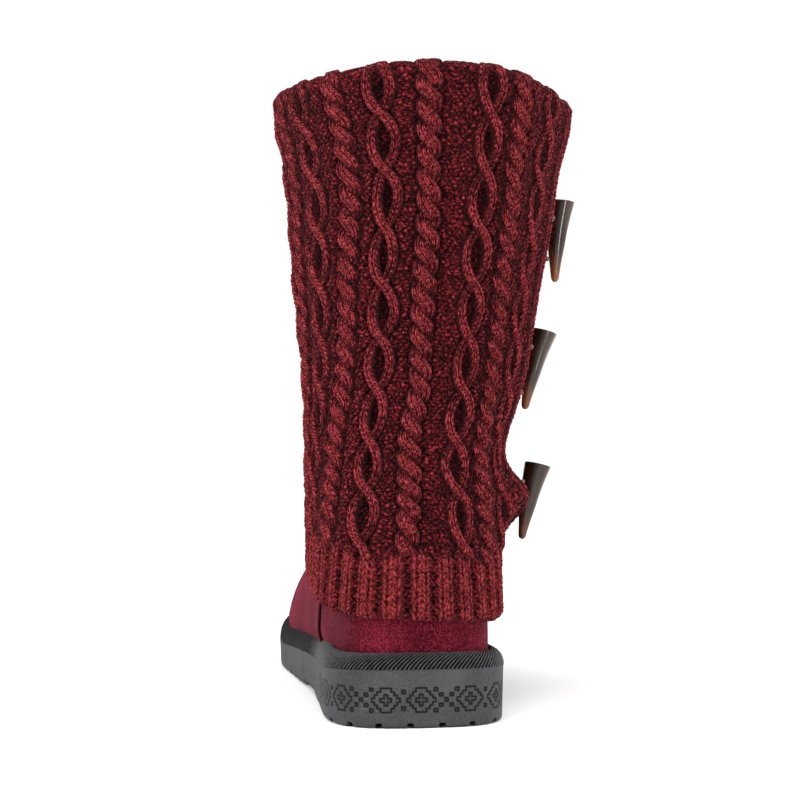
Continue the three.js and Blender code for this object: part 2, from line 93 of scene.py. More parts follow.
def unrest(x: Array, y: Array, seed: int) -> Array:
    """Even noise that changes over a distance of about 1 in x and in y.

    Args:
        x: places across.
        y: places up.
        seed: picks one of many such noises.
    Returns:
        Numbers from -1 to 1.
    """
    lattice = np.random.default_rng(seed).uniform(-1, 1, (LATTICE, LATTICE))
    x, y = np.broadcast_arrays(np.asarray(x, float), np.asarray(y, float))
    column, row = np.floor(x).astype(int), np.floor(y).astype(int)
    s, t = x - column, y - row
    s, t = s * s * (3 - 2 * s), t * t * (3 - 2 * t)
    value = lambda i, j: lattice[(row + j) % LATTICE, (column + i) % LATTICE]
    return mix(mix(value(0, 0), value(1, 0), s), mix(value(0, 1), value(1, 1), s), t)


def seat(across: Array, along: Array, up: Array) -> Array:
    """Points from their place across, their distance from the back of the heel, and their height."""
    return np.stack(np.broadcast_arrays(across, HEEL_BACK - np.asarray(along, float), up), -1)


# Forms that the pieces share


@dataclass
class SoleForm:
    """Outline and heights of the wedge sole."""

    length: float = 278
    heel_height: float = 25.5
    ball_height: float = 13.5
    spring: float = 8
    arch: float = 2.5
    heel_round: float = 41
    toe_round: float = 74.1
    # place as a share of the length, width, and the inner side's share of it
    table: Array = field(default_factory=lambda: np.array([
        [0.0, 82, 0.51], [0.15, 82, 0.51], [0.3, 80.5, 0.494], [0.44, 81.47, 0.489],
        [0.57, 88.9, 0.466], [0.7, 95, 0.46], [0.8, 93.1, 0.485], [1.0, 88.35, 0.54]]))

    def floor(self, along: Array) -> Array:
        """Height of the sole's underside.

        Args:
            along: distance from the back of the heel.
        Returns:
            The height there.
        """
        s = np.asarray(along, float) / self.length
        arch = self.arch * smooth(s, 0.3, 0.38) * (1 - smooth(s, 0.46, 0.54))
        return arch + self.spring * np.clip((s - 0.74) / 0.26, 0, 1) ** 2

    def top(self, along: Array) -> Array:
        """Height of the sole's top edge.

        Args:
            along: distance from the back of the heel.
        Returns:
            The height there.
        """
        s = np.asarray(along, float) / self.length
        rise = self.spring * np.clip((s - 0.72) / 0.28, 0, 1) ** 2
        return mix(self.heel_height, self.ball_height, np.minimum(s / 0.74, 1)) + rise

    def ends(self, along: Array, low: float, high: float, heel: float, toe: float) -> Array:
        """How far an outline is rounded in at its heel and toe.

        Args:
            along: distance from the back of the heel.
            low: where the outline starts.
            high: where the outline ends.
            heel: length of the heel's rounding.
            toe: length of the toe's rounding.
        Returns:
            The share of the half width that is left.
        """
        a = np.clip((low + heel - along) / heel, 0, 1)
        b = np.clip((along - high + toe) / toe, 0, 1)
        return (1 - a ** 3) ** (1 / 3) * (1 - b ** 2.2) ** (1 / 2.2)

    def half(self, side: Array, along: Array) -> Array:
        """Half width of the sole.

        Args:
            side: over 0 for the inner side.
            along: distance from the back of the heel.
        Returns:
            The width from the middle line to that side.
        """
        s = np.asarray(along, float) / self.length
        inner = curve(self.table, 2, s)
        half = curve(self.table, 1, s) * np.where(np.asarray(side) > 0, inner, 1 - inner)
        return half * self.ends(along, 0, self.length, self.heel_round, self.toe_round)

    def raw(self, turn: Array) -> Array:
        """The outline before any inset.

        Args:
            turn: place round it from 0 to 1, inner side first.
        Returns:
            Points as across and along.
        """
        angle = 2 * np.pi * np.asarray(turn, float)
        along = self.length * (1 - np.cos(angle)) / 2
        side = np.where(np.sin(angle) >= 0, 1.0, -1.0)
        return np.stack([side * self.half(side, along), along], -1)

    def outline(self, turn: Array, inset: Array | float = 0) -> Array:
        """The outline moved inwards.

        Args:
            turn: place round it from 0 to 1, inner side first.
            inset: how far inwards.
        Returns:
            Points as across and along.
        """
        step = self.raw(turn + 1e-3) - self.raw(turn - 1e-3)
        step /= np.linalg.norm(step, axis=-1, keepdims=True)
        inset = np.asarray(inset, float)[..., None]
        return self.raw(turn) + inset * np.stack([-step[..., 1], step[..., 0]], -1)

    def walk(self, pitch: Callable[[Array], Array]) -> tuple[Array, Array]:
        """Turns round the outline at a spacing that follows the place along the boot.

        Args:
            pitch: gives the wanted spacing for places along the boot.
        Returns:
            The turns, and the distance walked to each from the back of the heel.
        """
        fine = np.linspace(0, 1, 20001)
        points = self.raw(fine)
        steps = np.linalg.norm(np.diff(points, axis=0), axis=1)
        walked = np.r_[0, np.cumsum(steps)]
        wanted = np.r_[0, np.cumsum(steps / pitch((points[1:, 1] + points[:-1, 1]) / 2))]
        count = int(round(wanted[-1]))
        turn = np.interp(np.linspace(0, wanted[-1], count + 1), wanted, fine)
        return turn, np.interp(turn, fine, walked)


@dataclass
class FootForm:
    """The suede foot: arches from side to side, one after another from heel to toe."""

    sole: SoleForm
    feather: float = 5.8
    toe_setback: float = 1.5
    seam: float = 80
    step: float = 1.1
    # place as a share of the length, width, and the inner side's share of it
    table: Array = field(default_factory=lambda: np.array([
        [0.0, 66.2, 0.51], [0.15, 66.2, 0.51], [0.3, 72.3, 0.518], [0.44, 76.44, 0.513],
        [0.57, 83.72, 0.475], [0.7, 91, 0.462], [0.8, 89.18, 0.475], [1.0, 83.72, 0.53]]))
    # place as a share of the length, height, and how round the arch is
    tops: Array = field(default_factory=lambda: np.array([
        [0.0, 57.6, 0.42], [0.07, 76.8, 0.42], [0.18, 92.2, 0.45], [0.36, 99.8, 0.8],
        [0.46, 96.5, 0.94], [0.525, 93.1, 0.94], [0.6, 83.5, 0.9], [0.68, 76, 0.86],
        [0.8, 65.4, 0.84], [0.9, 56, 0.8], [1.0, 51.5, 0.78]]))

    def reach(self, inset: float = 0) -> tuple[float, float]:
        """Where the form starts and ends along the boot."""
        return self.feather + inset, self.sole.length - self.feather - self.toe_setback - inset

    def at(self, along: Array, turn: Array, inset: float = 0, sunk: float = 0) -> Array:
        """Points of the form.

        Args:
            along: distance from the back of the heel.
            turn: 0 at the inner feather edge, 1 at the outer one.
            inset: how far inside the outer face.
            sunk: how far the edges go down into the sole's top.
        Returns:
            Points in the boot's frame.
        """
        along, turn = np.broadcast_arrays(np.asarray(along, float), np.asarray(turn, float))
        share = along / self.sole.length
        angle = np.pi * (turn - 0.1 * np.sin(2 * np.pi * turn))
        side = np.where(np.cos(angle) >= 0, 1.0, -1.0)
        square = curve(self.tops, 2, share)
        base = self.sole.top(along) + 0.3
        fall = np.clip((share - 0.87) / 0.105, 0, 1)
        top = mix(base, curve(self.tops, 1, share) - inset, (1 - fall ** 2.5) ** 0.4)
        height = mix(base - sunk, top, np.clip(np.sin(angle), 0, 1) ** (square + 0.12))
        low, high = self.reach(inset)
        ends = self.sole.ends(along, low, high, self.sole.heel_round - self.feather, self.sole.toe_round)
        inner = curve(self.table, 2, share)
        growth = np.where(along < self.seam, self.step, 0)
        body = (curve(self.table, 1, share) * np.where(side > 0, inner, 1 - inner) + growth) * ends
        feather = np.minimum(body, self.sole.half(side, along) - self.feather * np.minimum(ends * 1.5, 1))
        rise = rand_rise(along, self.sole)
        half = mix(feather, body, smooth((height - base) / (1.6 * rise), 0, 1))
        half = np.maximum(half - inset * np.minimum(ends * 3, 1), 0)
        return seat(side * half * np.abs(np.cos(angle)) ** square, along, height)


def fan(count: int) -> Array:
    """Turns across the foot, closest together at its edges."""
    return (1 - np.cos(np.linspace(0, np.pi, count))) / 2


def lay(place: Array, level: Callable[[Array], Array], up: Array | float) -> Array:
    """Points of an outline that stand up over one of the sole's levels."""
    return seat(place[:, 0], place[:, 1], level(place[:, 1]) + up)


def core(along: Array) -> Array:
    """The middle of the foot, which its skins look away from, one place a row."""
    return seat(np.zeros(len(along)), along, np.full(len(along), FOOT_CORE))[:, None, :]


def rand_rise(along: Array, sole: SoleForm) -> Array:
    """Height of the rand, which is lower round the heel."""
    return mix(7.0, 9.0, smooth(np.asarray(along) / sole.length, 0.02, 0.3))


@dataclass
class ShaftForm:
    """Rings of the shaft's outer face. Angle 0 is the back, and 90 degrees the inner side."""

    hem: float = 47
    rise: float = 248
    hem_rise: float = 50
    hem_drop: float = 3
    depth: float = 137
    collar: float = 139.5
    sag: float = 10.7
    # height as a share, lift at the front, rear, widest place and front in depths, width, shift outwards
    table: Array = field(default_factory=lambda: np.array([
        [0.0, 1.0, -0.008, 0.3, 1.12, 87.7, -0.0204], [0.12, 0.8, -0.002, 0.32, 1.03, 88.17, -0.0207],
        [0.245, 0.58, 0.022, 0.37, 0.925, 90.24, -0.0179], [0.31, 0.48, 0.031, 0.39, 0.885, 91.18, -0.0162],
        [0.4, 0.36, 0.038, 0.43, 0.86, 99.17, 0.0085], [0.49, 0.26, 0.04, 0.44, 0.845, 105.94, 0.0211],
        [0.6, 0.15, 0.031, 0.45, 0.858, 113.27, 0.0282], [0.72, 0.08, 0.015, 0.455, 0.885, 120.81, 0.04],
        [0.84, 0.03, -0.006, 0.46, 0.92, 126.95, 0.045], [0.93, 0.0, -0.022, 0.465, 0.945, 135.73, 0.05],
        [1.0, 0.0, -0.036, 0.47, 0.965, 139.5, 0.048]]))

    def ring(self, height: Array, angle: Array, inset: Array | float = 0) -> Array:
        """Points of the form.

        Args:
            height: share from the hem to the collar.
            angle: place round the shaft, in radians.
            inset: how far inside the outer face.
        Returns:
            Points in the boot's frame.
        """
        height, angle, inset = np.broadcast_arrays(*(np.asarray(v, float) for v in (height, angle, inset)))
        row = lambda column: curve(self.table, column, height)
        cos, sin = np.cos(angle), np.sin(angle)
        widest = row(3) * self.depth
        end = np.where(cos > 0, row(2), row(4)) * self.depth
        rear_bend = mix(0.74, 0.92, smooth(height, 0, 0.35))
        front_bend = mix(0.78, 0.9, smooth(height, 0, 0.4))
        bend = np.where(cos > 0, rear_bend, front_bend)
        along = widest - np.sign(cos) * (np.abs(widest - end) - inset) * np.abs(cos) ** bend
        across = (row(5) / 2 - inset) * np.sign(sin) * np.abs(sin) ** bend - row(6) * self.collar
        forward = row(1) * self.hem_rise * ((1 - cos) / 2) ** 3.3
        drop = self.hem_drop * sin * smooth(cos, -0.9, 0.2) * (1 - smooth(height, 0, 0.5))
        sag = self.sag * (1 - 0.25 * sin) * sin * sin * np.maximum(2 * height - 1, 0) ** 2
        return seat(across, along, self.hem + height * self.rise + forward + drop - sag)

    def paced(self, height: Array, share: Array) -> tuple[Array, Array]:
        """Angles that stand at even shares of each ring's length.

        Args:
            height: one height a row.
            share: one share of the ring a column, 0 at the back and growing to the inner side.
        Returns:
            The angles as rows by columns, and each row's ring length.
        """
        angle = np.radians(np.linspace(-180, 180, 721))
        points = self.ring(height[:, None], angle[None, :])
        walked = np.cumsum(np.linalg.norm(np.diff(points, axis=1), axis=2), axis=1)
        walked = np.concatenate([np.zeros((len(height), 1)), walked], axis=1)
        length = walked[:, -1]
        found = np.empty((len(height), len(share)))
        for i in range(len(height)):
            start = np.interp(0.0, angle, walked[i])
            target = np.mod(start + share * length[i], length[i])
            found[i] = np.interp(target, walked[i], angle)
        return found, length


# Mesh making


class Facing(Enum):
    """Which way the faces of an open sheet look."""

    OUT = 1
    IN = -1


def read(items: bpy.types.bpy_prop_collection, key: str) -> Array:
    """One vector of each of a mesh's vertices or faces.

    Args:
        items: the vertices or the faces.
        key: the vector's name.
    Returns:
        Rows of three numbers.
    """
    flat = np.empty(len(items) * 3)
    items.foreach_get(key, flat)
    return flat.reshape(-1, 3)


def carry(mesh: bpy.types.Mesh, label: str, value: Array) -> None:
    """Keeps a number on each of a mesh's points, for its finish to read."""
    layer = mesh.attributes.new(label, "FLOAT", "POINT")
    layer.data.foreach_set("value", value.astype(np.float32))


def clear_selection() -> None:
    """Leaves nothing selected, in object mode."""
    if bpy.context.object and bpy.context.object.mode != "OBJECT":
        bpy.ops.object.mode_set(mode="OBJECT")
    bpy.ops.object.select_all(action="DESELECT")


def wrap_sheet(name: str, points: Array, centre: Array, facing: Facing = Facing.OUT,
               values: dict[str, Array | float] | None = None, weld: bool = False) -> bpy.types.Object:
    """Wraps a plane of quads over rows and columns of points.

    Args:
        name: the piece's name.
        points: rows by columns of points, in millimetres.
        centre: for each point, or for all, a place that outward faces look away from.
        facing: whether the faces look away from it or towards it.
        values: per-point numbers that the finish reads, by name.
        weld: whether the first and last rows or columns meet.
    Returns:
        The new object.
    """
    clear_selection()
    rows, columns = points.shape[:2]
    bpy.ops.mesh.primitive_grid_add(x_subdivisions=columns - 1, y_subdivisions=rows - 1, size=1)
    piece = bpy.context.object
    piece.name = piece.data.name = name
    mesh = piece.data
    flat = read(mesh.vertices, "co")
    column = np.rint((flat[:, 0] + 0.5) * (columns - 1)).astype(int)
    row = np.rint((flat[:, 1] + 0.5) * (rows - 1)).astype(int)
    placed = points[row, column]
    mesh.vertices.foreach_set("co", (placed * MM).ravel())
    for label, value in (values or {}).items():
        carry(mesh, label, np.broadcast_to(value, (rows, columns))[row, column])
    mesh.update()
    centre = np.broadcast_to(centre, points.shape)[row, column]
    if np.sum(read(mesh.vertices, "normal") * (placed - centre)) * facing.value < 0:
        mesh.flip_normals()
    bpy.ops.object.mode_set(mode="EDIT")
    bpy.ops.mesh.select_all(action="SELECT")
    if weld:
        bpy.ops.mesh.remove_doubles(threshold=2e-5)
    bpy.ops.object.mode_set(mode="OBJECT")
    bpy.ops.object.shade_smooth()
    return piece


def drop_faces(piece: bpy.types.Object, unwanted: Callable[[Array], Array]) -> None:
    """Deletes some of a piece's faces.

    Args:
        piece: the piece.
        unwanted: marks the faces to delete from their centres in millimetres.
    """
    clear_selection()
    bpy.context.view_layer.objects.active = piece
    piece.select_set(True)
    mesh = piece.data
    marked = unwanted(read(mesh.polygons, "center") / MM)
    bpy.ops.object.mode_set(mode="EDIT")
    bpy.ops.mesh.select_mode(type="FACE")
    bpy.ops.mesh.select_all(action="DESELECT")
    bpy.ops.object.mode_set(mode="OBJECT")
    mesh.polygons.foreach_set("select", marked)
    bpy.ops.object.mode_set(mode="EDIT")
    bpy.ops.mesh.delete(type="FACE")
    bpy.ops.object.mode_set(mode="OBJECT")


def finish_piece(piece: bpy.types.Object, finish: "Finish", nodes: Sequence[str] = ()) -> None:
    """Gives a piece its finish, lets it ride on the boot, and hides the solids that it stands for.

    Args:
        piece: the piece.
        finish: what it is made of.
        nodes: the solids that it stands for.
    """
    piece.data.materials.clear()
    piece.data.materials.append(finish.material())
    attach(piece, "root")
    if nodes:
        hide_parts(*nodes)
    log.info("%s: %d faces", piece.name, len(piece.data.polygons))


# Finishes


class Shader:
    """A material's nodes, made and linked in short calls."""

    made: dict[str, bpy.types.Material] = {}

    def __init__(self, name: str) -> None:
        """Starts a material with one principled surface.

        Args:
            name: the material's name.
        """
        self.material = bpy.data.materials.new(name)
        self.material.use_nodes = True
        self.tree = self.material.node_tree
        self.surface = self.tree.nodes["Principled BSDF"]

    def feed(self, socket: Socket, value: object) -> None:
        """Links an output to a socket, or sets the socket to a number or a colour.

        Args:
            socket: the socket to feed.
            value: the output, number or colour.
        """
        if isinstance(value, bpy.types.NodeSocket):
            self.tree.links.new(value, socket)
        elif socket.type == "RGBA" and len(value) == 3:
            socket.default_value = (*value, 1)
        else:
            socket.default_value = value

    def node(self, kind: str, inputs: dict[str | int, object] | None = None,
             **settings: object) -> bpy.types.Node:
        """Adds a node.

        Args:
            kind: the node's type.
            inputs: numbers, or other nodes' outputs, by the input's name or number.
            settings: the node's own settings.
        Returns:
            The node.
        """
        made = self.tree.nodes.new(kind)
        for key, value in settings.items():
            setattr(made, key, value)
        for key, value in (inputs or {}).items():
            self.feed(made.inputs[key], value)
        return made

    def math(self, operation: str, a: object, b: object = 0.0, c: object = 0.0,
             clamp: bool = False) -> Socket:
        """One sum of two or three numbers or outputs."""
        made = self.node("ShaderNodeMath", {0: a, 1: b, 2: c}, operation=operation, use_clamp=clamp)
        return made.outputs[0]

    def total(self, *terms: tuple[object, float]) -> Socket:
        """Adds values up.

        Args:
            terms: the values, each with its weight.
        Returns:
            The sum's output.
        """
        found, *others = (self.math("MULTIPLY", value, weight) for value, weight in terms)
        for other in others:
            found = self.math("ADD", found, other)
        return found

    def step(self, value: object, low: float, high: float) -> Socket:
        """A soft step from 0 at low to 1 at high."""
        inputs = {0: value, 1: low, 2: high}
        return self.node("ShaderNodeMapRange", inputs, interpolation_type="SMOOTHSTEP").outputs[0]

    def attribute(self, name: str) -> Socket:
        """A number that the piece carries on its points."""
        return self.node("ShaderNodeAttribute", attribute_name=name).outputs["Fac"]

    def noise(self, scale: float, detail: float = 2.0, stretch: tuple[float, float, float] = (1, 1, 1),
              rough: float = 0.5) -> Socket:
        """Noise in the boot's own space.

        Args:
            scale: how many times a metre it changes.
            detail: how many finer layers lie over it.
            stretch: scale of each axis.
            rough: strength of the finer layers.
        Returns:
            Its output.
        """
        place = self.node("ShaderNodeTexCoord").outputs["Object"]
        turned = self.node("ShaderNodeMapping", {0: place, 3: stretch}).outputs[0]
        return self.node("ShaderNodeTexNoise", {0: turned, 2: scale, 3: detail, 4: rough}).outputs[0]

    def ramp(self, value: object, stops: Sequence[tuple[float, Color]]) -> Socket:
        """A colour that runs through stops.

        Args:
            value: where on the ramp.
            stops: places from 0 to 1, each with its colour.
        Returns:
            The colour's output.
        """
        ramp = self.node("ShaderNodeValToRGB", {0: value})
        marks = ramp.color_ramp.elements
        while len(marks) < len(stops):
            marks.new(0.5)
        for mark, (place, color) in zip(marks, stops):
            mark.position = place
            mark.color = (*color, 1)
        return ramp.outputs[0]

    def blend(self, share: object, a: object, b: object) -> Socket:
        """Mixes two colours.

        Args:
            share: how much of the second.
            a: the first colour.
            b: the second colour.
        Returns:
            The colour's output.
        """
        made = self.node("ShaderNodeMix", data_type="RGBA")
        for key, value in ((0, share), (6, a), (7, b)):
            self.feed(made.inputs[key], value)
        return made.outputs[2]

    def coat(self, color: object, roughness: object, height: object = None, depth: float = 0.001,
             **constants: object) -> bpy.types.Material:
        """Feeds the surface.

        Args:
            color: the base colour.
            roughness: the roughness.
            height: bump height from 0 to 1.
            depth: what the whole height stands for, in metres.
            constants: other sockets of the surface by name, with _ for a space.
        Returns:
            The finished material.
        """
        for key, value in (("Base Color", color), ("Roughness", roughness), *constants.items()):
            self.feed(self.surface.inputs[key.replace("_", " ")], value)
        if height is not None:
            bump = self.node("ShaderNodeBump", {"Height": height, "Strength": 1.0, "Distance": depth})
            self.tree.links.new(bump.outputs[0], self.surface.inputs["Normal"])
        return self.material


@dataclass(frozen=True)
class Finish:
    """A finish of the boot, with the record's slot that it belongs to."""

    name: str
    slot: str

    def material(self) -> bpy.types.Material:
        """The finish's material, which is made once.

        Returns:
            The material.
        """
        if self.name not in Shader.made:
            Shader.made[self.name] = self.build(Shader(self.name))
        return Shader.made[self.name]

    def build(self, shader: Shader) -> bpy.types.Material:
        """Makes the nodes.

        Args:
            shader: the material's nodes so far.
        Returns:
            The finished material.
        """
        raise NotImplementedError


@dataclass(frozen=True)
class Knit(Finish):
    """Marled yarn: knit wales where 'raised' is 1 and purl bumps where it is 0, with painted shade in its
    low relief and stitch hollows and painted light on their tops.
    """

    # The ramp's dark stops are mostly painted shade for the hollows and its high stop mostly painted light
    # on the raised tops; the rest is the yarn's marl.
    deep: Color = (0.0035, 0.0003, 0.0006)
    low: Color = (0.030, 0.0022, 0.0036)
    mid: Color = (0.120, 0.0068, 0.0105)
    high: Color = (0.45, 0.055, 0.062)
    brick: Color = (0.29, 0.033, 0.036)

    def build(self, shader: Shader) -> bpy.types.Material:
        """Makes the nodes.

        Args:
            shader: the material's nodes so far.
        Returns:
            The finished material.
        """
        sums = shader.math
        wale, course = shader.attribute("wale"), shader.attribute("course")
        raised, relief = shader.attribute("raised"), shader.attribute("relief")
        off = sums("ABSOLUTE", sums("SUBTRACT", sums("FRACT", wale), 0.5))
        leg = sums("FRACT", sums("ADD", course, sums("MULTIPLY", off, 1.9)))
        strand = sums("POWER", sums("SINE", sums("MULTIPLY", leg, math.pi)), 0.85)
        knit = sums("MULTIPLY", strand, shader.step(off, 0.5, 0.26))
        knit = sums("MULTIPLY", knit, sums("ADD", 0.45, sums("MULTIPLY", shader.step(off, 0.0, 0.16), 0.55)))
        rows = sums("MULTIPLY", course, 1.35)
        odd = sums("FRACT", sums("MULTIPLY", sums("FLOOR", rows), 0.5))
        across = sums("MULTIPLY", sums("SUBTRACT", sums("FRACT", sums("ADD", wale, odd)), 0.5), 2.0)
        upward = sums("MULTIPLY", sums("SUBTRACT", sums("FRACT", rows), 0.5), 2.1)
        bow = sums("ADD", upward, sums("MULTIPLY", sums("MULTIPLY", across, across), 0.9))
        spread = sums("ADD", sums("MULTIPLY", across, across), sums("MULTIPLY", bow, bow))
        purl = sums("POWER", sums("SUBTRACT", 1.0, spread, clamp=True), 0.7)
        purl = sums("ADD", 0.16, sums("MULTIPLY", purl, 0.66))
        stitch = shader.node("ShaderNodeMix", {0: raised, 2: purl, 3: knit}).outputs[0]
        fibre = shader.noise(1500, 3, rough=0.7)
        fleck = shader.noise(640, 3, rough=0.65)
        height = shader.total((stitch, 0.7), (fibre, 0.3))
        # Relief and stitch height paint shade into the hollows and light onto the tops; fleck and fibre are
        # the yarn's own marl.
        light = shader.total((relief, 0.40), (stitch, 0.39), (sums("SUBTRACT", fleck, 0.5), 1.55),
                             (sums("SUBTRACT", fibre, 0.5), 0.95))
        stops = [(0.11, self.deep), (0.33, self.low), (0.53, self.mid), (0.92, self.high)]
        color = shader.ramp(light, stops)
        worn = sums("MULTIPLY", shader.attribute("hem"), 0.32)
        worn = sums("MULTIPLY", worn, shader.step(light, 0.1, 0.6))
        color = shader.blend(worn, color, self.brick)
        return shader.coat(color, 0.92, height, 0.0015, Sheen_Weight=0.07, Sheen_Roughness=0.4,
                           Sheen_Tint=(1.0, 0.35, 0.35, 1), Specular_IOR_Level=0.06)


@dataclass(frozen=True)
class Suede(Finish):
    """Brushed suede, with the nap lying in drifts, and painted shade where 'edge' marks the seam."""

    dark: Color = (0.038, 0.0013, 0.0042)
    middle: Color = (0.072, 0.0032, 0.0088)
    light: Color = (0.20, 0.016, 0.034)
    slot_shade: Color = (0.004, 0.0005, 0.001)

    def build(self, shader: Shader) -> bpy.types.Material:
        """Makes the nodes.

        Args:
            shader: the material's nodes so far.
        Returns:
            The finished material.
        """
        drift = shader.noise(38, 3, rough=0.55)
        nap = shader.noise(1500, 2, rough=0.85)
        speck = shader.noise(760, 2)
        share = shader.total((drift, 0.22), (nap, 0.62), (speck, 0.24))
        color = shader.ramp(share, [(0.48, self.dark), (0.54, self.middle), (0.62, self.light)])
        # 'edge' blends in the slot shade, painted shade in the seam.
        color = shader.blend(shader.attribute("edge"), color, self.slot_shade)
        height = shader.total((nap, 0.6), (speck, 0.4))
        return shader.coat(color, 0.95, height, 0.0009, Sheen_Weight=0.12, Sheen_Roughness=0.45,
                           Sheen_Tint=(1.0, 0.30, 0.42, 1), Specular_IOR_Level=0.06)


@dataclass(frozen=True)
class Rubber(Finish):
    """Moulded rubber, dusty grey, with painted shade where 'mark' says a line, notch or slit is cut."""

    base: Color = (0.032, 0.0305, 0.0335)
    pale: Color = (0.066, 0.0625, 0.068)
    line: Color = (0.0015, 0.0015, 0.002)

    def build(self, shader: Shader) -> bpy.types.Material:
        """Makes the nodes.

        Args:
            shader: the material's nodes so far.
        Returns:
            The finished material.
        """
        cloud = shader.noise(45, 3)
        grain = shader.noise(1300, 3, rough=0.8)
        share = shader.total((cloud, 0.45), (grain, 0.65))
        color = shader.ramp(share, [(0.45, self.base), (0.64, self.pale)])
        # 'mark' blends in the near-black line colour, painted shade in the cut lines, notches and slits.
        color = shader.blend(shader.attribute("mark"), color, self.line)
        rough = shader.math("ADD", 0.55, shader.math("MULTIPLY", cloud, 0.15))
        return shader.coat(color, rough, grain, 0.0003, Specular_IOR_Level=0.16)


@dataclass(frozen=True)
class Binding(Finish):
    """Black ribbed binding, with painted highlights on its ridge crests and painted shade in its grooves."""

    low: Color = (0.001, 0.001, 0.0011)
    middle: Color = (0.020, 0.019, 0.020)
    high: Color = (0.13, 0.127, 0.130)

    def build(self, shader: Shader) -> bpy.types.Material:
        """Makes the nodes.

        Args:
            shader: the material's nodes so far.
        Returns:
            The finished material.
        """
        grain = shader.noise(1800, 2)
        share = shader.total((shader.attribute("ridge"), 0.75), (grain, 0.3))
        # The ramp on 'ridge' paints highlights on the crests and shade in the grooves.
        color = shader.ramp(share, [(0.32, self.low), (0.66, self.middle), (0.92, self.high)])
        return shader.coat(color, 0.5, grain, 0.0003, Specular_IOR_Level=0.12)


@dataclass(frozen=True)
class Horn(Finish):
    """Polished horn: dark brown, streaked, with an amber tip; painted shade on the face towards the boot and
    a painted highlight on the outer face.
    """

    dark: Color = (0.010, 0.0035, 0.002)
    brown: Color = (0.026, 0.012, 0.008)
    pale: Color = (0.075, 0.042, 0.03)
    amber: Color = (0.085, 0.023, 0.006)
    honey: Color = (0.26, 0.078, 0.020)

    def build(self, shader: Shader) -> bpy.types.Material:
        """Makes the nodes.

        Args:
            shader: the material's nodes so far.
        Returns:
            The finished material.
        """
        streak = shader.noise(160, 4, (1, 1, 0.12), 0.6)
        # 'side' paints the face towards the boot darker and the outer face paler, painted shade and painted
        # highlight; the streaks are the horn's own grain.
        share = shader.total((shader.attribute("side"), 0.65), (streak, 0.5))
        color = shader.ramp(share, [(0.2, self.dark), (0.6, self.brown), (0.95, self.pale)])
        amber = shader.ramp(streak, [(0.3, self.amber), (0.75, self.honey)])
        color = shader.blend(shader.attribute("tip"), color, amber)
        return shader.coat(color, 0.16, streak, 0.00008, IOR=1.4)


@dataclass(frozen=True)
class Cord(Finish):
    """Twisted cord, darker in the grooves between its plies, painted shade."""

    color: Color = (0.20, 0.035, 0.07)

    def build(self, shader: Shader) -> bpy.types.Material:
        """Makes the nodes.

        Args:
            shader: the material's nodes so far.
        Returns:
            The finished material.
        """
        sums = shader.math
        twist = sums("ADD", shader.attribute("run"), shader.attribute("round"))
        ply = sums("SINE", sums("MULTIPLY", sums("FRACT", twist), math.pi))
        # The ply wave darkens the grooves, painted shade.
        color = shader.ramp(ply, [(0.0, tuple(0.3 * c for c in self.color)), (0.8, self.color)])
        return shader.coat(color, 0.6, ply, 0.0004, Sheen_Weight=0.4)


@dataclass(frozen=True)
class Fleece(Finish):
    """Short cream-brown pile for the lining and footbed, darker between its tufts, painted shade."""

    dark: Color = (0.16, 0.115, 0.085)
    light: Color = (0.42, 0.33, 0.26)

    def build(self, shader: Shader) -> bpy.types.Material:
        """Makes the nodes.

        Args:
            shader: the material's nodes so far.
        Returns:
            The finished material.
        """
        place = shader.node("ShaderNodeTexCoord").outputs["Object"]
        tuft = shader.node("ShaderNodeTexVoronoi", {0: place, 2: 420.0}).outputs[0]
        fibre = shader.noise(1400, 3, rough=0.7)
        pile = shader.math("ADD", shader.math("MULTIPLY", tuft, -0.9), shader.math("ADD", fibre, 0.35))
        # Colour falls with distance from a tuft's middle, painted shade between the tufts.
        color = shader.ramp(pile, [(0.0, self.dark), (0.7, self.light)])
        return shader.coat(color, 0.95, pile, 0.0012, Sheen_Weight=0.5)


@dataclass(frozen=True)
class Paper(Finish):
    """The pale floor."""

    def build(self, shader: Shader) -> bpy.types.Material:
        """Makes the nodes.

        Args:
            shader: the material's nodes so far.
        Returns:
            The finished material.
        """
        tone = shader.ramp(shader.noise(3, 2), [(0.0, (0.93,) * 3), (1.0, (0.96,) * 3)])
        place = shader.node("ShaderNodeTexCoord").outputs["Object"]
        away = shader.node("ShaderNodeVectorMath", {0: place}, operation="LENGTH").outputs["Value"]
        glow = shader.ramp(shader.step(away, 0.25, 1.3), [(0.0, (0.0,) * 3), (1.0, (1.0,) * 3)])
        return shader.coat(tone, 0.8, Emission_Color=glow, Emission_Strength=0.68)


KNIT = Knit("burgundy_knit", "knit")
SUEDE = Suede("wine_suede", "suede")
RUBBER = Rubber("grey_rubber", "sole_rubber")
BINDING = Binding("black_binding", "rand_binding")
HORN = Horn("polished_horn", "horn")
CORD = Cord("raspberry_cord", "cord")
FLEECE = Fleece("lining_fleece", "footbed")


# Knit sleeve


class Twist(Enum):
    """How a cable's strands cross, as swing, radius, crest, lap and pace."""

    ROPE = (2.5, 3.2, 1.55, 1.5, math.pi * 2.5)
    CHAIN = (5.0, 2.35, 1.7, 0.95, math.pi)


@dataclass(frozen=True)
class Cable:
    """One cable, at a share of the ring."""

    at: float
    twist: Twist


@dataclass(frozen=True)
class Toggle:
    """Where a toggle sits and how it leans.

    Args:
        at: its height as a share of the boot's.
        lean: its lean outwards in degrees.
        pull: how strongly it pulls the solid wall out.
        knit_pull: how strongly it pulls the knit out.
        drop: how far it slides down.
        out: how far it slides out.
        share: its length as a share of the usual one.
        amber: how much of its tip is amber.
    """

    at: float
    lean: float
    pull: float
    knit_pull: float
    drop: float
    out: float
    share: float
    amber: float


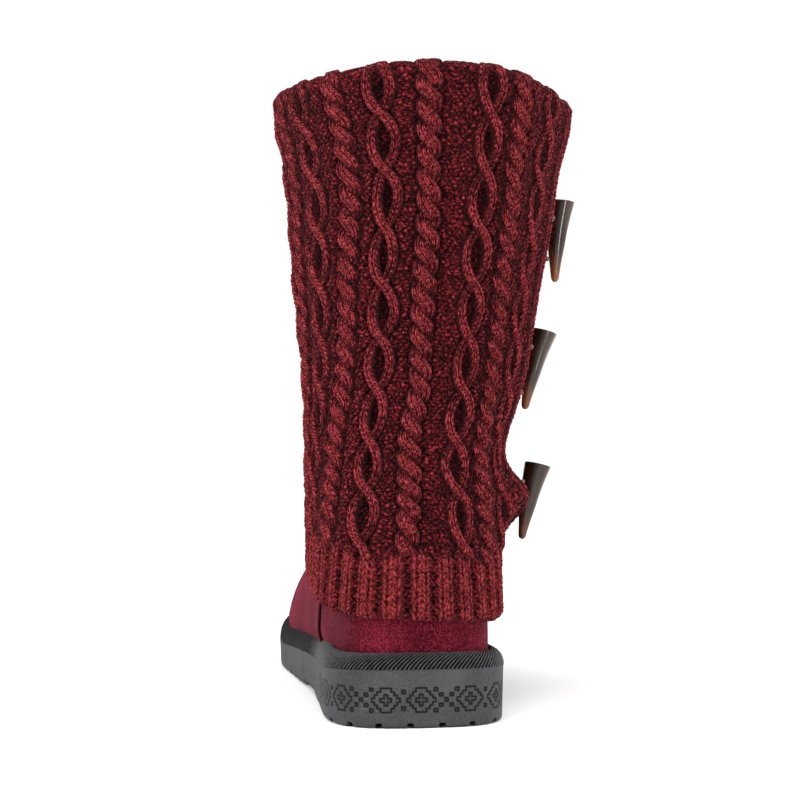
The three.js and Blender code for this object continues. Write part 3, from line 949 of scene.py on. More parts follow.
TOGGLES = (Toggle(0.749, 5, 0.22, 0.0, -1.6, 1.3, 0.975, 1.0),
           Toggle(0.532, 15, 0.2, 0.1, -0.1, 1.0, 0.965, 0.95),
           Toggle(0.33, 14, 1.25, 1.25, 4.2, 0.0, 0.91, 0.3))
PLACKET_ANGLE = math.radians(268)
TOGGLE_LENGTH = 38.0
SHAFT_HEIGHT = 295.0


def toggle_height(toggle: Toggle, form: ShaftForm) -> float:
    """The toggle's height as a share from hem to collar."""
    return (toggle.at * SHAFT_HEIGHT - form.hem) / form.rise


def pull_out(form: ShaftForm, height: Array, angle: Array, knit: bool = False) -> Array:
    """How far the toggles pull the wall out.

    Args:
        form: the shaft's form.
        height: share from the hem to the collar.
        angle: place round the shaft, in radians.
        knit: whether the wall is the knit or the solid form.
    Returns:
        The pull in millimetres.
    """
    turn = np.mod(angle, 2 * np.pi)
    side = (turn - PLACKET_ANGLE) / math.radians(17)
    total = np.zeros(np.broadcast(height, angle).shape)
    for toggle in TOGGLES:
        away = (height - toggle_height(toggle, form)) * form.rise / (0.3 * TOGGLE_LENGTH)
        pull = 10 * (toggle.knit_pull if knit else toggle.pull)
        total = total + pull * np.exp(-(away ** 2) - side ** 2)
    return total


@dataclass
class KnitSleeve:
    """Cable-knit sleeve with a ribbed hem, a fold at the collar and a placket on the outer side."""

    form: ShaftForm
    ground: float = 2.2
    fold: float = 5.2
    hem_bend: float = 1.7
    rib: float = 28
    inside: float = 22
    course: float = 2.3
    girth: float = 380
    wales: int = 130
    reach: float = 12
    turns_near: float = 0.04
    oval: float = 4.3
    oval_depth: float = 2.1
    well_depth: float = 1.2
    purl_pace: float = 1.35
    steepest: float = 1.6
    flap: tuple[float, float, float] = (-0.25, -0.185, 3.0)
    cables: tuple[Cable, ...] = tuple(
        Cable(at, Twist.CHAIN if k % 2 else Twist.ROPE) for k, at in enumerate((
            0.013, 0.065, 0.115, 0.165, 0.215, 0.265, 0.315, 0.365, 0.415, 0.465, 0.515, 0.565, 0.615,
            -0.0535, -0.096, -0.146)))
    # heights where the strands of a chain cross
    ovals: tuple[float, ...] = (-7, 20, 46, 67.5, 90, 113, 136.5, 161, 186.5, 212, 237, 262, 287)
    # how far the inner cables wander round the ring at each height
    drift: tuple[tuple[float, float], ...] = (
        (0, 0.012), (0.2, 0.01), (0.36, 0.009), (0.55, 0.0),
        (0.77, -0.007), (0.86, -0.002), (0.95, 0.008), (1.1, 0.012))
    placket_end: float = -0.312
    placket_ribs: float = 56
    crown: tuple[float, float] = (234, 245)
    hem_length: float = 405
    # distances from the back at which the numbered ribs stand
    hem_walk: tuple[float, ...] = (
        -211, -37.9, -30.2, -20.8, -11.3, 0, 13.4, 25.8, 35.1, 43.4, 51.7, 59, 211)
    hem_ribs: tuple[float, ...] = (-21.8, -4, -3, -2, -1, 0, 1, 2, 3, 4, 5, 6, 21.2)

    def rows(self) -> Array:
        """Even steps up the outer face.

        Returns:
            Distances up it, from inside the hem to inside the collar.
        """
        step = self.course / 4
        top = self.fold_start() + math.pi * (self.fold - self.ground) + self.inside
        return np.arange(-math.pi * self.hem_bend - 4, top, step)

    def fold_start(self) -> float:
        """Where the fold at the collar begins."""
        return self.form.rise - self.fold

    def profile(self, up: Array) -> tuple[Array, Array, Array]:
        """The ground of the knit, with the bends at the hem and the collar.

        Args:
            up: distances up the outer face.
        Returns:
            Height share, inset and lift at each.
        """
        low, bend = self.hem_bend + 0.3, self.hem_bend
        high, turn = self.fold_start(), self.fold - self.ground
        height = np.clip(up, low, high)
        inset = np.full(up.shape, self.ground)
        lift = np.zeros(up.shape)
        under = np.clip((low - up) / bend, 0, math.pi)
        inset += bend * (1 - np.cos(under))
        lift -= bend * np.sin(under)
        height += np.maximum(low - math.pi * bend - up, 0)
        over = np.clip((up - high) / turn, 0, math.pi)
        inset += turn * (1 - np.cos(over))
        lift += turn * np.sin(over)
        height -= np.maximum(up - high - math.pi * turn, 0)
        return height / self.form.rise, inset, lift

    def oval_count(self, up: Array) -> Array:
        """How many ovals of a chain lie below each distance up."""
        return np.interp(up, self.ovals, np.arange(len(self.ovals)) - 2.0)

    def strand_relief(self, cable: Cable, side: Array, up: Array,
                      seed: float) -> tuple[Array, Array, Array]:
        """Relief of one cable.

        Args:
            cable: the cable.
            side: millimetres from its middle, growing towards the back view's right.
            up: distance up the face.
            seed: shifts its small unevenness.
        Returns:
            Height over the ground, place across the strand in wales, and slope of the strand.
        """
        count = self.oval_count(up)
        pace = np.gradient(count, up[:, 0], axis=0)
        chain = cable.twist is Twist.CHAIN
        swing, radius, crest, lap, rate = cable.twist.value
        phase = count * rate + seed * (0 if chain else 2.1)
        swing = swing * (1 + 0.10 * np.sin(1.7 * count + seed * 5))
        best = np.full(side.shape, -9.0)
        wale = np.zeros(side.shape)
        slope = np.zeros(side.shape)
        for half in (0.0, math.pi):
            wave = np.cos(phase + half)
            place = swing * (np.sign(wave) * np.abs(wave) ** 0.75 if chain else wave)
            lean = -swing * rate * pace * np.sin(phase + half)
            lean = np.clip(lean, -self.steepest, self.steepest)
            slant = 1 / np.sqrt(1 + lean ** 2)
            offset = (side - place) * slant
            body = 1 - (offset / radius) ** 2
            bulge = crest * np.sqrt(np.clip(body, 0, 1)) - 2.2 * np.clip(-body, 0, 3)
            height = bulge + lap * np.sin(phase + half) * (0.4 + 0.6 * np.clip(body, 0, 1))
            over = height > best
            best = np.where(over, height, best)
            wale = np.where(over, offset / radius, wale)
            slope = np.where(over, lean, slope)
        return best, wale, slope

    def face(self, share: Array, up: Array, length: Array) -> dict[str, Array]:
        """Relief and stitch numbers of the knit.

        Args:
            share: place round the ring, one a column.
            up: distance up the face, one a row.
            length: the ring's length at each row.
        Returns:
            Relief in millimetres, and wale, course, raised, relief and hem for the finish, which paints
            shade where the relief share is low and light where it is high.
        """
        up = up[:, None]
        share = share[None, :]
        height = np.clip(up / self.form.rise, 0, 1.05)
        table = np.array(self.drift)
        walked = share * length[:, None]
        stray = lambda size, seed: unrest(walked / size + 90, up / size + 9, seed)
        wale = share * self.wales + 0.6 * stray(9, 1) + 0.42 * stray(3, 2)
        course = up / self.course + 0.8 * stray(12, 3) + 0.45 * stray(3, 4)
        grain = 0.28 * stray(1.4, 5) + 0.3 * stray(4.5, 6)
        rows = course * self.purl_pace
        fx = ((wale + 0.5 * (np.floor(rows) % 2)) % 1 - 0.5) * 2
        fy = (rows % 1 - 0.5) * 2 + 0.9 * fx ** 2
        bump = np.sqrt(np.clip(1 - fx ** 2 - fy ** 2, 0, 1))
        relief = 0.25 + 0.42 * (bump - 0.5) + 1.15 * grain
        raised = np.zeros_like(relief)
        ground = relief.copy()
        well = np.zeros_like(relief)
        for k, cable in enumerate(self.cables):
            inner = smooth(cable.at, 0.02, 0.09) * (1 - smooth(cable.at, 0.2, 0.3))
            middle = cable.at + inner * np.interp(height, table[:, 0], table[:, 1])
            middle = middle + 0.0016 * np.sin(up / 31 + 2.3 * k) + 0.0018 * unrest(up / 17, k * 3.3, 7)
            turns = (share - middle + 0.5) % 1 - 0.5
            if np.abs(turns).min() > self.turns_near:
                continue
            side = -turns * length[:, None] * (350 / length[:, None]) ** 0.35
            near = np.abs(side) < self.reach
            body, across, slope = self.strand_relief(cable, side, up, 0.37 * k)
            chain = cable.twist is Twist.CHAIN
            ply = across if chain else across * 1.5 + 0.5
            run = up / self.course * 1.05 + slope * side / self.course + 0.25 * stray(6, 8)
            ridge = np.abs(np.sin(np.pi * ply)) ** 0.7
            bead = np.abs(np.sin(np.pi * (run + 1.4 * np.abs(ply % 1 - 0.5)))) ** 0.8
            solid = body + 0.55 * (ridge - 0.75) + 0.85 * (bead - 0.6) * ridge + 0.8 * grain
            well = np.where(near, np.maximum(well, np.exp(-(np.clip(-body, 0, 9) / 1.5) ** 2)), well)
            over = near & (body > 0.15) & (solid > np.where(raised > 0, relief, -9))
            relief = np.where(over, solid, relief)
            raised = np.where(over, 1.0, raised)
            wale = np.where(over, ply, wale)
            course = np.where(over, run, course)
            if chain:
                # The holes sink deep, and through the relief share the finish also paints them in the
                # darkest shade.
                inside = near & (np.abs(side) < self.oval) & (raised < 1)
                relief = np.where(inside, 0.5 * ground - self.oval_depth, relief)
                ground = np.where(inside, -9, ground)
        # The ground sinks in a well beside the cables, which the finish also paints in shade.
        relief = np.where((raised < 1) & (ground > -5), relief - self.well_depth * well, relief)
        relief = mix(relief, 0.45 + 0.7 * np.clip(relief, -0.5, 1.7), smooth(up, *self.crown))
        relief, raised, wale = self.placket(share, up, relief, raised, wale)
        relief, raised, wale, hem = self.hem(share, up, relief, raised, wale)
        # The relief share below drives the finish's painted shade and painted light.
        return {"out": relief, "wale": wale, "course": course, "raised": raised,
                "relief": np.clip((relief + 0.9) / 3.3, 0, 1), "hem": hem}

    def placket(self, share: Array, up: Array, relief: Array, raised: Array,
                wale: Array) -> tuple[Array, Array, Array]:
        """Ribs of one wale and one purl on both edges that meet under the toggles.

        Args:
            share: place round the ring.
            up: distance up the face.
            relief: the knit's relief.
            raised: 1 on its wales and 0 on its purls.
            wale: its wale numbers.
        Returns:
            The last three with the ribs in them.
        """
        turns = (share + 0.5) % 1 - 0.5
        inside = (turns < self.flap[1]) & (turns > self.placket_end)
        ribs = turns * self.placket_ribs
        ridge = np.abs(np.sin(np.pi * ribs))
        bead = np.abs(np.sin(np.pi * up / self.course)) ** 0.8
        shape = 1.7 * smooth(ridge, 0.2, 0.95) - 0.35 + 0.35 * (bead - 0.6)
        shape = shape + 0.2 * unrest(share * 260, up / 1.5, 5)
        relief = np.where(inside, shape, relief)
        raised = np.where(inside, smooth(ridge, 0.35, 0.6), raised)
        wale = np.where(inside, ribs, wale)
        return relief, raised, wale

    def hem(self, share: Array, up: Array, relief: Array, raised: Array,
            wale: Array) -> tuple[Array, Array, Array, Array]:
        """Ribs of two wales and two purls from the bottom edge up.

        Args:
            share: place round the ring.
            up: distance up the face.
            relief: the knit's relief.
            raised: 1 on its wales and 0 on its purls.
            wale: its wale numbers.
        Returns:
            The last three with the ribs in them, and 1 inside the hem.
        """
        walk = ((share + 0.5) % 1 - 0.5) * self.hem_length + 0.6
        rib = np.interp(walk, self.hem_walk, self.hem_ribs)
        offset = np.abs(rib - np.rint(rib))
        start = self.rib + 1.6 * np.sin(rib * 2.1) + 2.5 * unrest(rib * 0.9, 0.0, 9)
        share_in = 1 - smooth(up - start, -3.5, 2.5)
        wear = 1 - 0.75 * smooth(-up, -3.2, 0.5)
        body = (2.2 * (1 - smooth(offset, 0.24, 0.43)) - 0.45) * wear
        columns = rib * 3.0 + 0.5
        bead = np.sin(np.pi * (up / self.course * 1.05 + 1.2 * np.abs(columns % 1 - 0.5)))
        bead = np.abs(bead) ** 0.8
        body = body - 0.5 * np.exp(-(((offset - 0.167) / 0.035) ** 2)) + 0.5 * (bead - 0.6)
        body = body + 0.28 * unrest(share * 240, up / 1.6, 5) + 0.3 * unrest(share * 80, up / 5, 6)
        relief = mix(relief, body, share_in)
        raised = np.where(share_in > 0.5, 1 - smooth(offset, 0.30, 0.38), raised)
        wale = np.where(share_in > 0.5, columns, wale)
        return relief, raised, wale, share_in

    def sheet(self, name: str, low: float, high: float, pitch: float, nodes: Sequence[str] = ()) -> None:
        """Makes one length of the knit.

        Args:
            name: the piece's name.
            low: the share of the ring where it starts.
            high: the share where it ends.
            pitch: width of a face.
            nodes: solids that it stands for.
        """
        up = self.rows()
        height, inset, lift = self.profile(up)
        columns = int((high - low) * self.girth / pitch)
        share = np.linspace(low, high, columns + 1)
        angle, length = self.form.paced(np.clip(height, 0, 1), share)
        face = self.face(share, up, length)
        pull = pull_out(self.form, height[:, None], angle, True)
        turns = (share + 0.5) % 1 - 0.5
        if low < -0.2:
            lap = self.flap[2] * (1 - smooth(turns, self.flap[1] - 0.015, self.flap[1] + 0.02))
            edge = smooth(turns, self.flap[0], self.flap[0] + 0.006)
            lap = lap - 4.5 * (1 - edge)
        else:
            lap = np.zeros(share.shape)
        over = np.clip((up[:, None] - self.fold_start()) / 3, 0, math.pi)
        body = pull + lap[None, :] * np.cos(over / 2) ** 2
        base = self.form.ring(height[:, None], angle, inset[:, None] - body)
        base[..., 2] += lift[:, None]
        along = np.gradient(base, axis=1)
        upward = np.gradient(base, axis=0)
        normal = np.cross(upward, along)
        normal /= np.linalg.norm(normal, axis=2, keepdims=True) + 1e-9
        points = base + normal * face.pop("out")[..., None] * self.outward(normal, base, up)
        piece = wrap_sheet(name, points, self.wall_centre(height, angle), Facing.OUT, face)
        finish_piece(piece, KNIT, nodes)

    def outward(self, normal: Array, base: Array, up: Array) -> float:
        """Which way the normals point.

        Args:
            normal: the normals, a row for each distance up.
            base: the points that they stand on.
            up: the distances up.
        Returns:
            1 if they point out of the shaft, and -1 if they point in.
        """
        row = int(np.argmin(np.abs(up - 120)))
        middle = np.array([-3.0, -20.0])
        return float(np.sign(np.sum(normal[row, :, :2] * (base[row, :, :2] - middle))))

    def wall_centre(self, height: Array, angle: Array) -> Array:
        """The middle of the wall, which both of its faces look away from."""
        return self.form.ring(np.clip(height, 0.01, 0.98)[:, None], angle, self.fold)

    def fuzz(self, count: int = 15000) -> None:
        """Loose fibres that stand out from the knit, each a bent strip of two faces.

        Args:
            count: how many there are.
        """
        chance = np.random.default_rng(11)
        places, ways = [], []
        for name in ("knit_back_outer", "knit_back_inner", "knit_front_inner", "knit_front_outer"):
            vertices = bpy.data.objects[name].data.vertices
            picked = chance.choice(len(vertices), count // 4, replace=False)
            places.append(read(vertices, "co")[picked] / MM)
            ways.append(read(vertices, "normal")[picked])
        place, way = np.concatenate(places), np.concatenate(ways)
        lean = way + chance.normal(0, 0.75, way.shape)
        curl = lean + chance.normal(0, 0.9, way.shape)
        length = chance.uniform(0.5, 1.7, (len(place), 1))
        middle = place + lean * length * 0.55
        tip = middle + curl * length * 0.5
        side = np.cross(lean, curl)
        side *= 0.035 / (np.linalg.norm(side, axis=1, keepdims=True) + 1e-9)
        rows = [np.stack([spot - side * wide, spot + side * wide], 1).reshape(-1, 3)
                for spot, wide in ((place - way * 0.3, 1.0), (middle, 0.9), (tip, 0.3))]
        points = np.stack(rows)
        # The fibres carry a high relief share, so the finish paints them at its lit end, painted light.
        values = {"wale": 0.3, "course": 0.5, "raised": 1.0, "relief": 0.9, "hem": 0.0}
        piece = wrap_sheet("knit_fuzz", points, np.array([0.0, 0.0, 150.0]), Facing.OUT, values)
        areas = np.empty(len(piece.data.polygons))
        piece.data.polygons.foreach_get("area", areas)
        drop_faces(piece, lambda centres: areas > 0.6e-6)
        finish_piece(piece, KNIT)

    def build(self) -> None:
        """Makes the four lengths of knit and their fuzz."""
        self.sheet("knit_back_outer", -0.25, -0.02, 0.62, ["knit_sleeve"])
        self.sheet("knit_back_inner", -0.02, 0.14, 0.62)
        self.sheet("knit_front_inner", 0.14, 0.42, 0.85)
        self.sheet("knit_front_outer", 0.42, 0.772, 0.85)
        self.fuzz()


# Suede foot and lining


@dataclass
class SuedeFoot:
    """Vamp and heel counter, with painted shade in the seam between them, and the lining inside."""

    form: FootForm
    shaft: ShaftForm
    above_hem: float = 11
    below_hem: float = 8
    mouth: float = 0.68
    lining_sunk: float = 3.6
    lining_low: float = 0.035
    lining_high: float = 0.95
    lining_ledge: tuple[float, ...] = (17.0, 13.0, 10.0, 8.0)
    lining_inset: float = 6.5

    def in_shaft(self, points: Array, inset: float) -> Array:
        """Finds what the shaft's wall and opening leave no room for.

        Args:
            points: points in the boot's frame.
            inset: how far inside the shaft's outer face its inside begins.
        Returns:
            True inside the shaft over its hem, and in the opening's middle from a little under it.
        """
        form, bottom, size = self.shaft, np.full(len(points), self.shaft.hem), np.ones(len(points))
        for _ in range(3):
            height = np.clip((points[:, 2] - bottom) / form.rise, 0, 1)
            row = lambda column: curve(form.table, column, height)
            across = points[:, 0] + row(6) * form.collar
            back = points[:, 1] - HEEL_BACK + row(3) * form.depth
            end = np.where(back > 0, row(2), row(4))
            reach = np.abs(end - row(3)) * form.depth - inset
            size = np.hypot(across / (row(5) / 2 - inset), back / reach)
            cos = back / reach / np.maximum(size, 1e-6)
            bottom = form.hem + row(1) * form.hem_rise * ((1 - cos) / 2) ** 3.3
        over = points[:, 2] - bottom
        wall = (size < 1) & (over > self.above_hem)
        return wall | ((size < self.mouth) & (over > -self.below_hem))

    def stations(self, low: float, high: float, step: float) -> Array:
        """Even places along the boot, at about a step."""
        return np.linspace(low, high, int((high - low) / step) + 1)

    def panel(self, name: str, along: Array, growth: float, turned: int,
              nodes: Sequence[str] = ()) -> None:
        """Makes one suede panel.

        Args:
            name: the piece's name.
            along: places along the boot, one a row.
            growth: how far its first rows stand proud of the foot's form.
            turned: 1 where its last row is the cut edge at the seam, and -1 where its first row is.
            nodes: solids that it stands for.
        """
        turn = fan(121)
        swell = growth * np.exp(-((along - along[0]) / 14) ** 2)
        points = np.stack([self.form.at(place, turn, -float(out), 2) for place, out in zip(along, swell)])
        edge = np.zeros(len(points))
        row = -1 if turned > 0 else 0
        inner = self.form.at(np.array([[along[row]]]), turn[None, :], 2.2)[0]
        folded = [mix(points[row], inner, share) for share in (0.25, 0.6, 1.0)]
        # The folded rows at the cut edge get 'edge' numbers that paint them in the seam's shade, painted
        # shade.
        if turned > 0:
            points = np.concatenate([points, folded])
            edge = np.r_[edge[:-1], 0.3, 0.95, 1.0, 1.0]
        else:
            points = np.concatenate([folded[::-1], points])
            edge = np.r_[1.0, 1.0, 0.95, 0.75, edge[1:]]
        self.skin(name, points, edge[:, None], core(HEEL_BACK - points[:, :, 1].mean(1)), nodes)

    def skin(self, name: str, points: Array, edge: Array | float, centre: Array,
             nodes: Sequence[str] = ()) -> None:
        """Makes a suede skin of the foot, open where the shaft is.

        Args:
            name: the piece's name.
            points: its rows and columns.
            edge: how much of each point is painted in the seam's shade.
            centre: the middle of the foot at each row.
            nodes: solids that it stands for.
        """
        piece = wrap_sheet(name, points, centre, Facing.OUT, {"edge": edge})
        drop_faces(piece, lambda centres: self.in_shaft(centres, 5.0))
        finish_piece(piece, SUEDE, nodes)

    def build(self) -> None:
        """Makes both panels, the dark sheet of painted shade in the seam, and the lining."""
        low, high = self.form.reach()
        seam = self.form.seam
        ends = low + (np.linspace(0, 1, 26) ** 2) * 14
        counter = np.r_[ends[:-1], self.stations(low + 14, seam - 0.8, 1.5)]
        self.panel("suede_counter", counter, 0.0, 1, ["upper"])
        toe = high - (np.linspace(1, 0, 40) ** 2) * 30
        vamp = np.r_[self.stations(seam + 3.4, high - 30, 2), toe[1:]]
        self.panel("suede_vamp", vamp, 1.7, -1)
        self.seam_tape()
        self.lining()

    def seam_tape(self) -> None:
        """A dark sheet at the bottom of the seam, painted shade for the gap between the panels."""
        along = self.stations(self.form.seam - 5, self.form.seam + 9, 1)
        points = self.form.at(along[:, None], fan(81)[None, :], 1.8, 2)
        self.skin("seam_tape", points, 1.0, core(along))

    def lining(self) -> None:
        """The fleece inside the shaft and the foot."""
        rows = np.linspace(self.lining_low, self.lining_high, 120)
        height = np.r_[[self.lining_low] * len(self.lining_ledge), rows]
        inset = np.r_[self.lining_ledge, np.full(len(rows), self.lining_inset)]
        angle = np.radians(np.linspace(0, 360, 181))
        points = self.shaft.ring(height[:, None], angle[None, :], inset[:, None])
        centre = seat(-4.0, 60.0, points[:, :, 2].mean(1))
        piece = wrap_sheet("lining_shaft", points, centre[:, None, :], Facing.IN, weld=True)
        finish_piece(piece, FLEECE)
        along = self.stations(*self.form.reach(self.lining_sunk), 2.5)
        points = self.form.at(along[:, None], fan(81)[None, :], self.lining_sunk)
        piece = wrap_sheet("lining_foot", points, core(along), Facing.IN)
        drop_faces(piece, lambda centres: self.in_shaft(centres, 8.4))
        finish_piece(piece, FLEECE)


@dataclass
class Footbed:
    """The insole's padded top."""

    sole: SoleForm
    inset: float = 10.4
    thick: float = 4.2

    def build(self) -> None:
        """Makes the footbed from the outline, crowned a little."""
        turn = np.linspace(0, 1, 241)
        rings = [(0.0, 0.3), (0.0, self.thick - 1.2), (0.6, self.thick - 0.3), (2.0, self.thick)]
        rows = []
        for inset, up in rings:
            rows.append(lay(self.sole.outline(turn, self.inset + inset), self.sole.top, up))
        edge = self.sole.outline(turn, self.inset + 2)
        for share in np.linspace(0.1, 1, 14):
            crown = 0.6 * np.sin(share * np.pi / 2)
            rows.append(lay(mix(edge, edge * (0, 1), share), self.sole.top, self.thick + crown))
        points = np.array(rows)
        along = HEEL_BACK - points[:, :, 1]
        centre = seat(0.0, along, self.sole.top(along) - 20)
        piece = wrap_sheet("footbed", points, centre, Facing.OUT, weld=True)
        finish_piece(piece, FLEECE, ["insole"])


# Sole


@dataclass
class Motif:
    """The band of stepped crosses, clusters and squares engraved round the heel."""

    start: float = -10.3
    repeat: float = 38.4
    line: float = 0.40
    middle: float = 12.2
    block: float = 1.03

    def cross(self, x: Array, z: Array) -> Array:
        """A stepped cross with a small hollow plus inside it.

        Args:
            x: places across.
            z: places up.
        Returns:
            The distance from its lines.
        """
        ax, az = np.abs(x), np.abs(z)
        outer = self.ring(ax, az, [(6.2, 0.9), (4.9, 2.2), (3.7, 3.6), (2.3, 5.2)])
        plus = self.ring(ax, az, [(2.45, 0.68), (0.68, 2.45)])
        return np.minimum(outer, plus)

    def ring(self, ax: Array, az: Array, steps: Sequence[tuple[float, float]]) -> Array:
        """The outline round boxes that share a middle.

        Args:
            ax: distance from the middle across.
            az: distance from the middle up.
            steps: half width and half height of each box, in blocks.
        Returns:
            The distance from the outline.
        """
        inside = np.full(np.broadcast(ax, az).shape, np.inf)
        for wide, tall in steps:
            dx, dz = ax - wide * self.block, az - tall * self.block
            away = np.hypot(np.maximum(dx, 0), np.maximum(dz, 0)) + np.minimum(np.maximum(dx, dz), 0)
            inside = np.minimum(inside, away)
        return np.abs(inside)

    def square(self, x: Array, z: Array) -> Array:
        """Distance from the lines of a small square."""
        return self.ring(np.abs(x), np.abs(z), [(0.66, 0.66)])

    def squares(self, x: Array, z: Array) -> Array:
        """Distance from the lines of two small squares, one over the other."""
        return self.square(x, np.abs(z) - 3.5 * self.block)

    def cluster(self, x: Array, z: Array) -> Array:
        """Nine small squares set as a diagonal cross.

        Args:
            x: places across.
            z: places up.
        Returns:
            The distance from their lines.
        """
        x = x * 0.95
        found = self.square(x, z)
        for reach in (2.2 * self.block, 4.45 * self.block):
            found = np.minimum(found, self.square(np.abs(x) - reach, np.abs(z) - reach))
        return found

    def depth(self, walk: Array, up: Array) -> Array:
        """How deep the lines are cut.

        Args:
            walk: distance from the back of the heel.
            up: height.
        Returns:
            Numbers from 0 to 1.
        """
        z = up - self.middle
        found = np.full(np.broadcast(walk, up).shape, 9.0)
        for number in range(-11, 14):
            place = self.start + self.repeat * (number // 4) + (0.0, 7.9, 19.2, 30.5)[number % 4]
            figure = (self.squares, self.cross, self.cluster, self.cross)[number % 4]
            x = walk - place
            near = np.abs(x) < 9
            found = np.where(near, np.minimum(found, figure(x, z)), found)
        return 1 - smooth(found, self.line * 0.7, self.line * 1.5)


@dataclass
class Outsole:
    """Wedge sole with edge notches, tread lugs and the engraved band."""

    sole: SoleForm
    motif: Motif = field(default_factory=Motif)
    notch: tuple[float, float, float, float] = (14.3, 3.0, 2.0, 7.0)
    edge: float = 1.4
    lip: float = 0.25
    band: float = 92
    slits: float = 168
    lug: float = 2.2
    cuts: tuple[float, ...] = (0.07, 0.119, 0.169, 0.218, 0.58, 0.645, 0.71, 0.775, 0.84)
    underside: tuple[tuple[float, float], ...] = (
        (20, 0), (10, 0), (7.2, 0), (7.0, 0), (4, 0), (2.2, 0), (1.5, 0.05), (1.1, 0.25),
        (0.85, 0.6), (0.66, 1.1))

    def build(self) -> None:
        """Makes the wall with its notches, and the tread lugs."""
        heel = lambda along: np.where(along < 100, 0.42, 0.85)
        turn, walked = self.sole.walk(heel)
        total = walked[-1]
        count = round(total / self.notch[0])
        phase = (walked / total * count) % 1 - 0.5
        cut = 1 - smooth(np.abs(phase) * self.notch[0], self.notch[1] / 2 - 0.12, self.notch[1] / 2 + 0.12)
        walk = np.where(walked > total / 2, walked - total, walked)
        rows, marks = [], []
        along = self.sole.raw(turn)[:, 1]
        floor, top = self.sole.floor(along), self.sole.top(along)
        lift = cut * self.notch[2]
        for inset, up in self.underside:
            deep = inset < self.notch[3] + 0.1
            rows.append(lay(self.sole.outline(turn, inset), self.sole.floor, np.maximum(up, lift * deep)))
            # Notch floors get 'mark' numbers, painted shade in the notches.
            marks.append(cut * 0.85 * deep * (inset > 0.9))
        for level in np.linspace(0, 1, 60)[1:]:
            z = mix(floor + self.edge, top, level)
            z = np.maximum(z, floor + lift + 0.02 * level)
            depth = self.motif.depth(-walk, z) * (np.abs(walk) < self.band)
            slit = self.slit(walk, z)
            inset = 0.6 * (1 - level) + 0.32 * depth + 0.5 * slit
            if level == 1:
                inset = inset + self.lip
            place = self.sole.outline(turn, inset)
            rows.append(seat(place[:, 0], place[:, 1], z if level < 1 else z + 0.1))
            # Engraved lines and slits get 'mark' numbers, painted shade in their grooves.
            marks.append(np.maximum(depth, slit))
        rows.append(lay(self.sole.outline(turn, 9), self.sole.top, -0.1))
        marks.append(np.zeros(len(turn)))
        points = np.array(rows)
        centre = seat(0.0, np.clip(along, 25, 250), (floor + top) / 2)[None]
        piece = wrap_sheet("outsole_wall", points, centre, Facing.OUT, {"mark": np.array(marks)}, weld=True)
        finish_piece(piece, RUBBER, ["outsole"])
        self.tread()

    def slit(self, walk: Array, z: Array) -> Array:
        """Short upright slits in the forefoot's sides.

        Args:
            walk: distance from the back of the heel.
            z: height.
        Returns:
            1 in the slits, and 0 elsewhere.
        """
        across = smooth(np.abs(np.abs(walk) - self.slits), 0.4, 0.8)
        return (1 - across) * (1 - smooth(np.abs(z - 8.5), 1.6, 2.2))

    def tread(self) -> None:
        """The lugs, one slab of the outline parted by cuts across it, and the base between them."""
        edges = [0.0, *self.cuts, 1.0]
        turn = np.linspace(0, 1, 241)[:-1]
        place = self.sole.outline(turn, 8.2)
        lugs = []
        for low, high in zip(edges[:-1], edges[1:]):
            clear_selection()
            bpy.ops.mesh.primitive_circle_add(vertices=len(turn), radius=1, fill_type="NGON")
            lug = bpy.context.object
            flat = lay(place, self.sole.floor, self.lug) * MM
            lug.data.vertices.foreach_set("co", flat.ravel())
            bpy.ops.object.mode_set(mode="EDIT")
            for share, inner, outer in ((low, True, False), (high, False, True)):
                if share in (0.0, 1.0):
                    continue
                gap = 1.5 if share == low else -1.5
                at = HEEL_BACK - (share * self.sole.length + gap)
                bpy.ops.mesh.select_all(action="SELECT")
                bpy.ops.mesh.bisect(plane_co=(0, at * MM, 0), plane_no=(0, 1, 0), use_fill=False,
                                    clear_inner=outer, clear_outer=inner)
            bpy.ops.mesh.select_all(action="SELECT")
            bpy.ops.mesh.extrude_region_move(TRANSFORM_OT_translate={"value": (0, 0, -self.lug * MM)})
            bpy.ops.mesh.select_all(action="SELECT")
            bpy.ops.mesh.normals_make_consistent(inside=False)
            bpy.ops.object.mode_set(mode="OBJECT")
            lugs.append(lug)
        clear_selection()
        for lug in lugs:
            lug.select_set(True)
        bpy.context.view_layer.objects.active = lugs[0]
        bpy.ops.object.join()
        piece = bpy.context.object
        piece.name = piece.data.name = "tread_lugs"
        points = read(piece.data.vertices, "co")
        floor = self.sole.floor(HEEL_BACK - points[:, 1] / MM)
        bottom = points[:, 2] < (floor + 1.0) * MM
        points[bottom, 2] = floor[bottom] * MM
        piece.data.vertices.foreach_set("co", points.ravel())
        finish_piece(piece, RUBBER)
        rim = self.sole.outline(np.linspace(0, 1, 241), 7.5)
        shares = np.linspace(0, 1, 12)
        points = np.array([lay(mix(rim, rim * (0, 1), share), self.sole.floor, 2.0) for share in shares])
        base = wrap_sheet("tread_base", points, points + (0, 0, 10), Facing.OUT, weld=True)
        finish_piece(base, RUBBER)


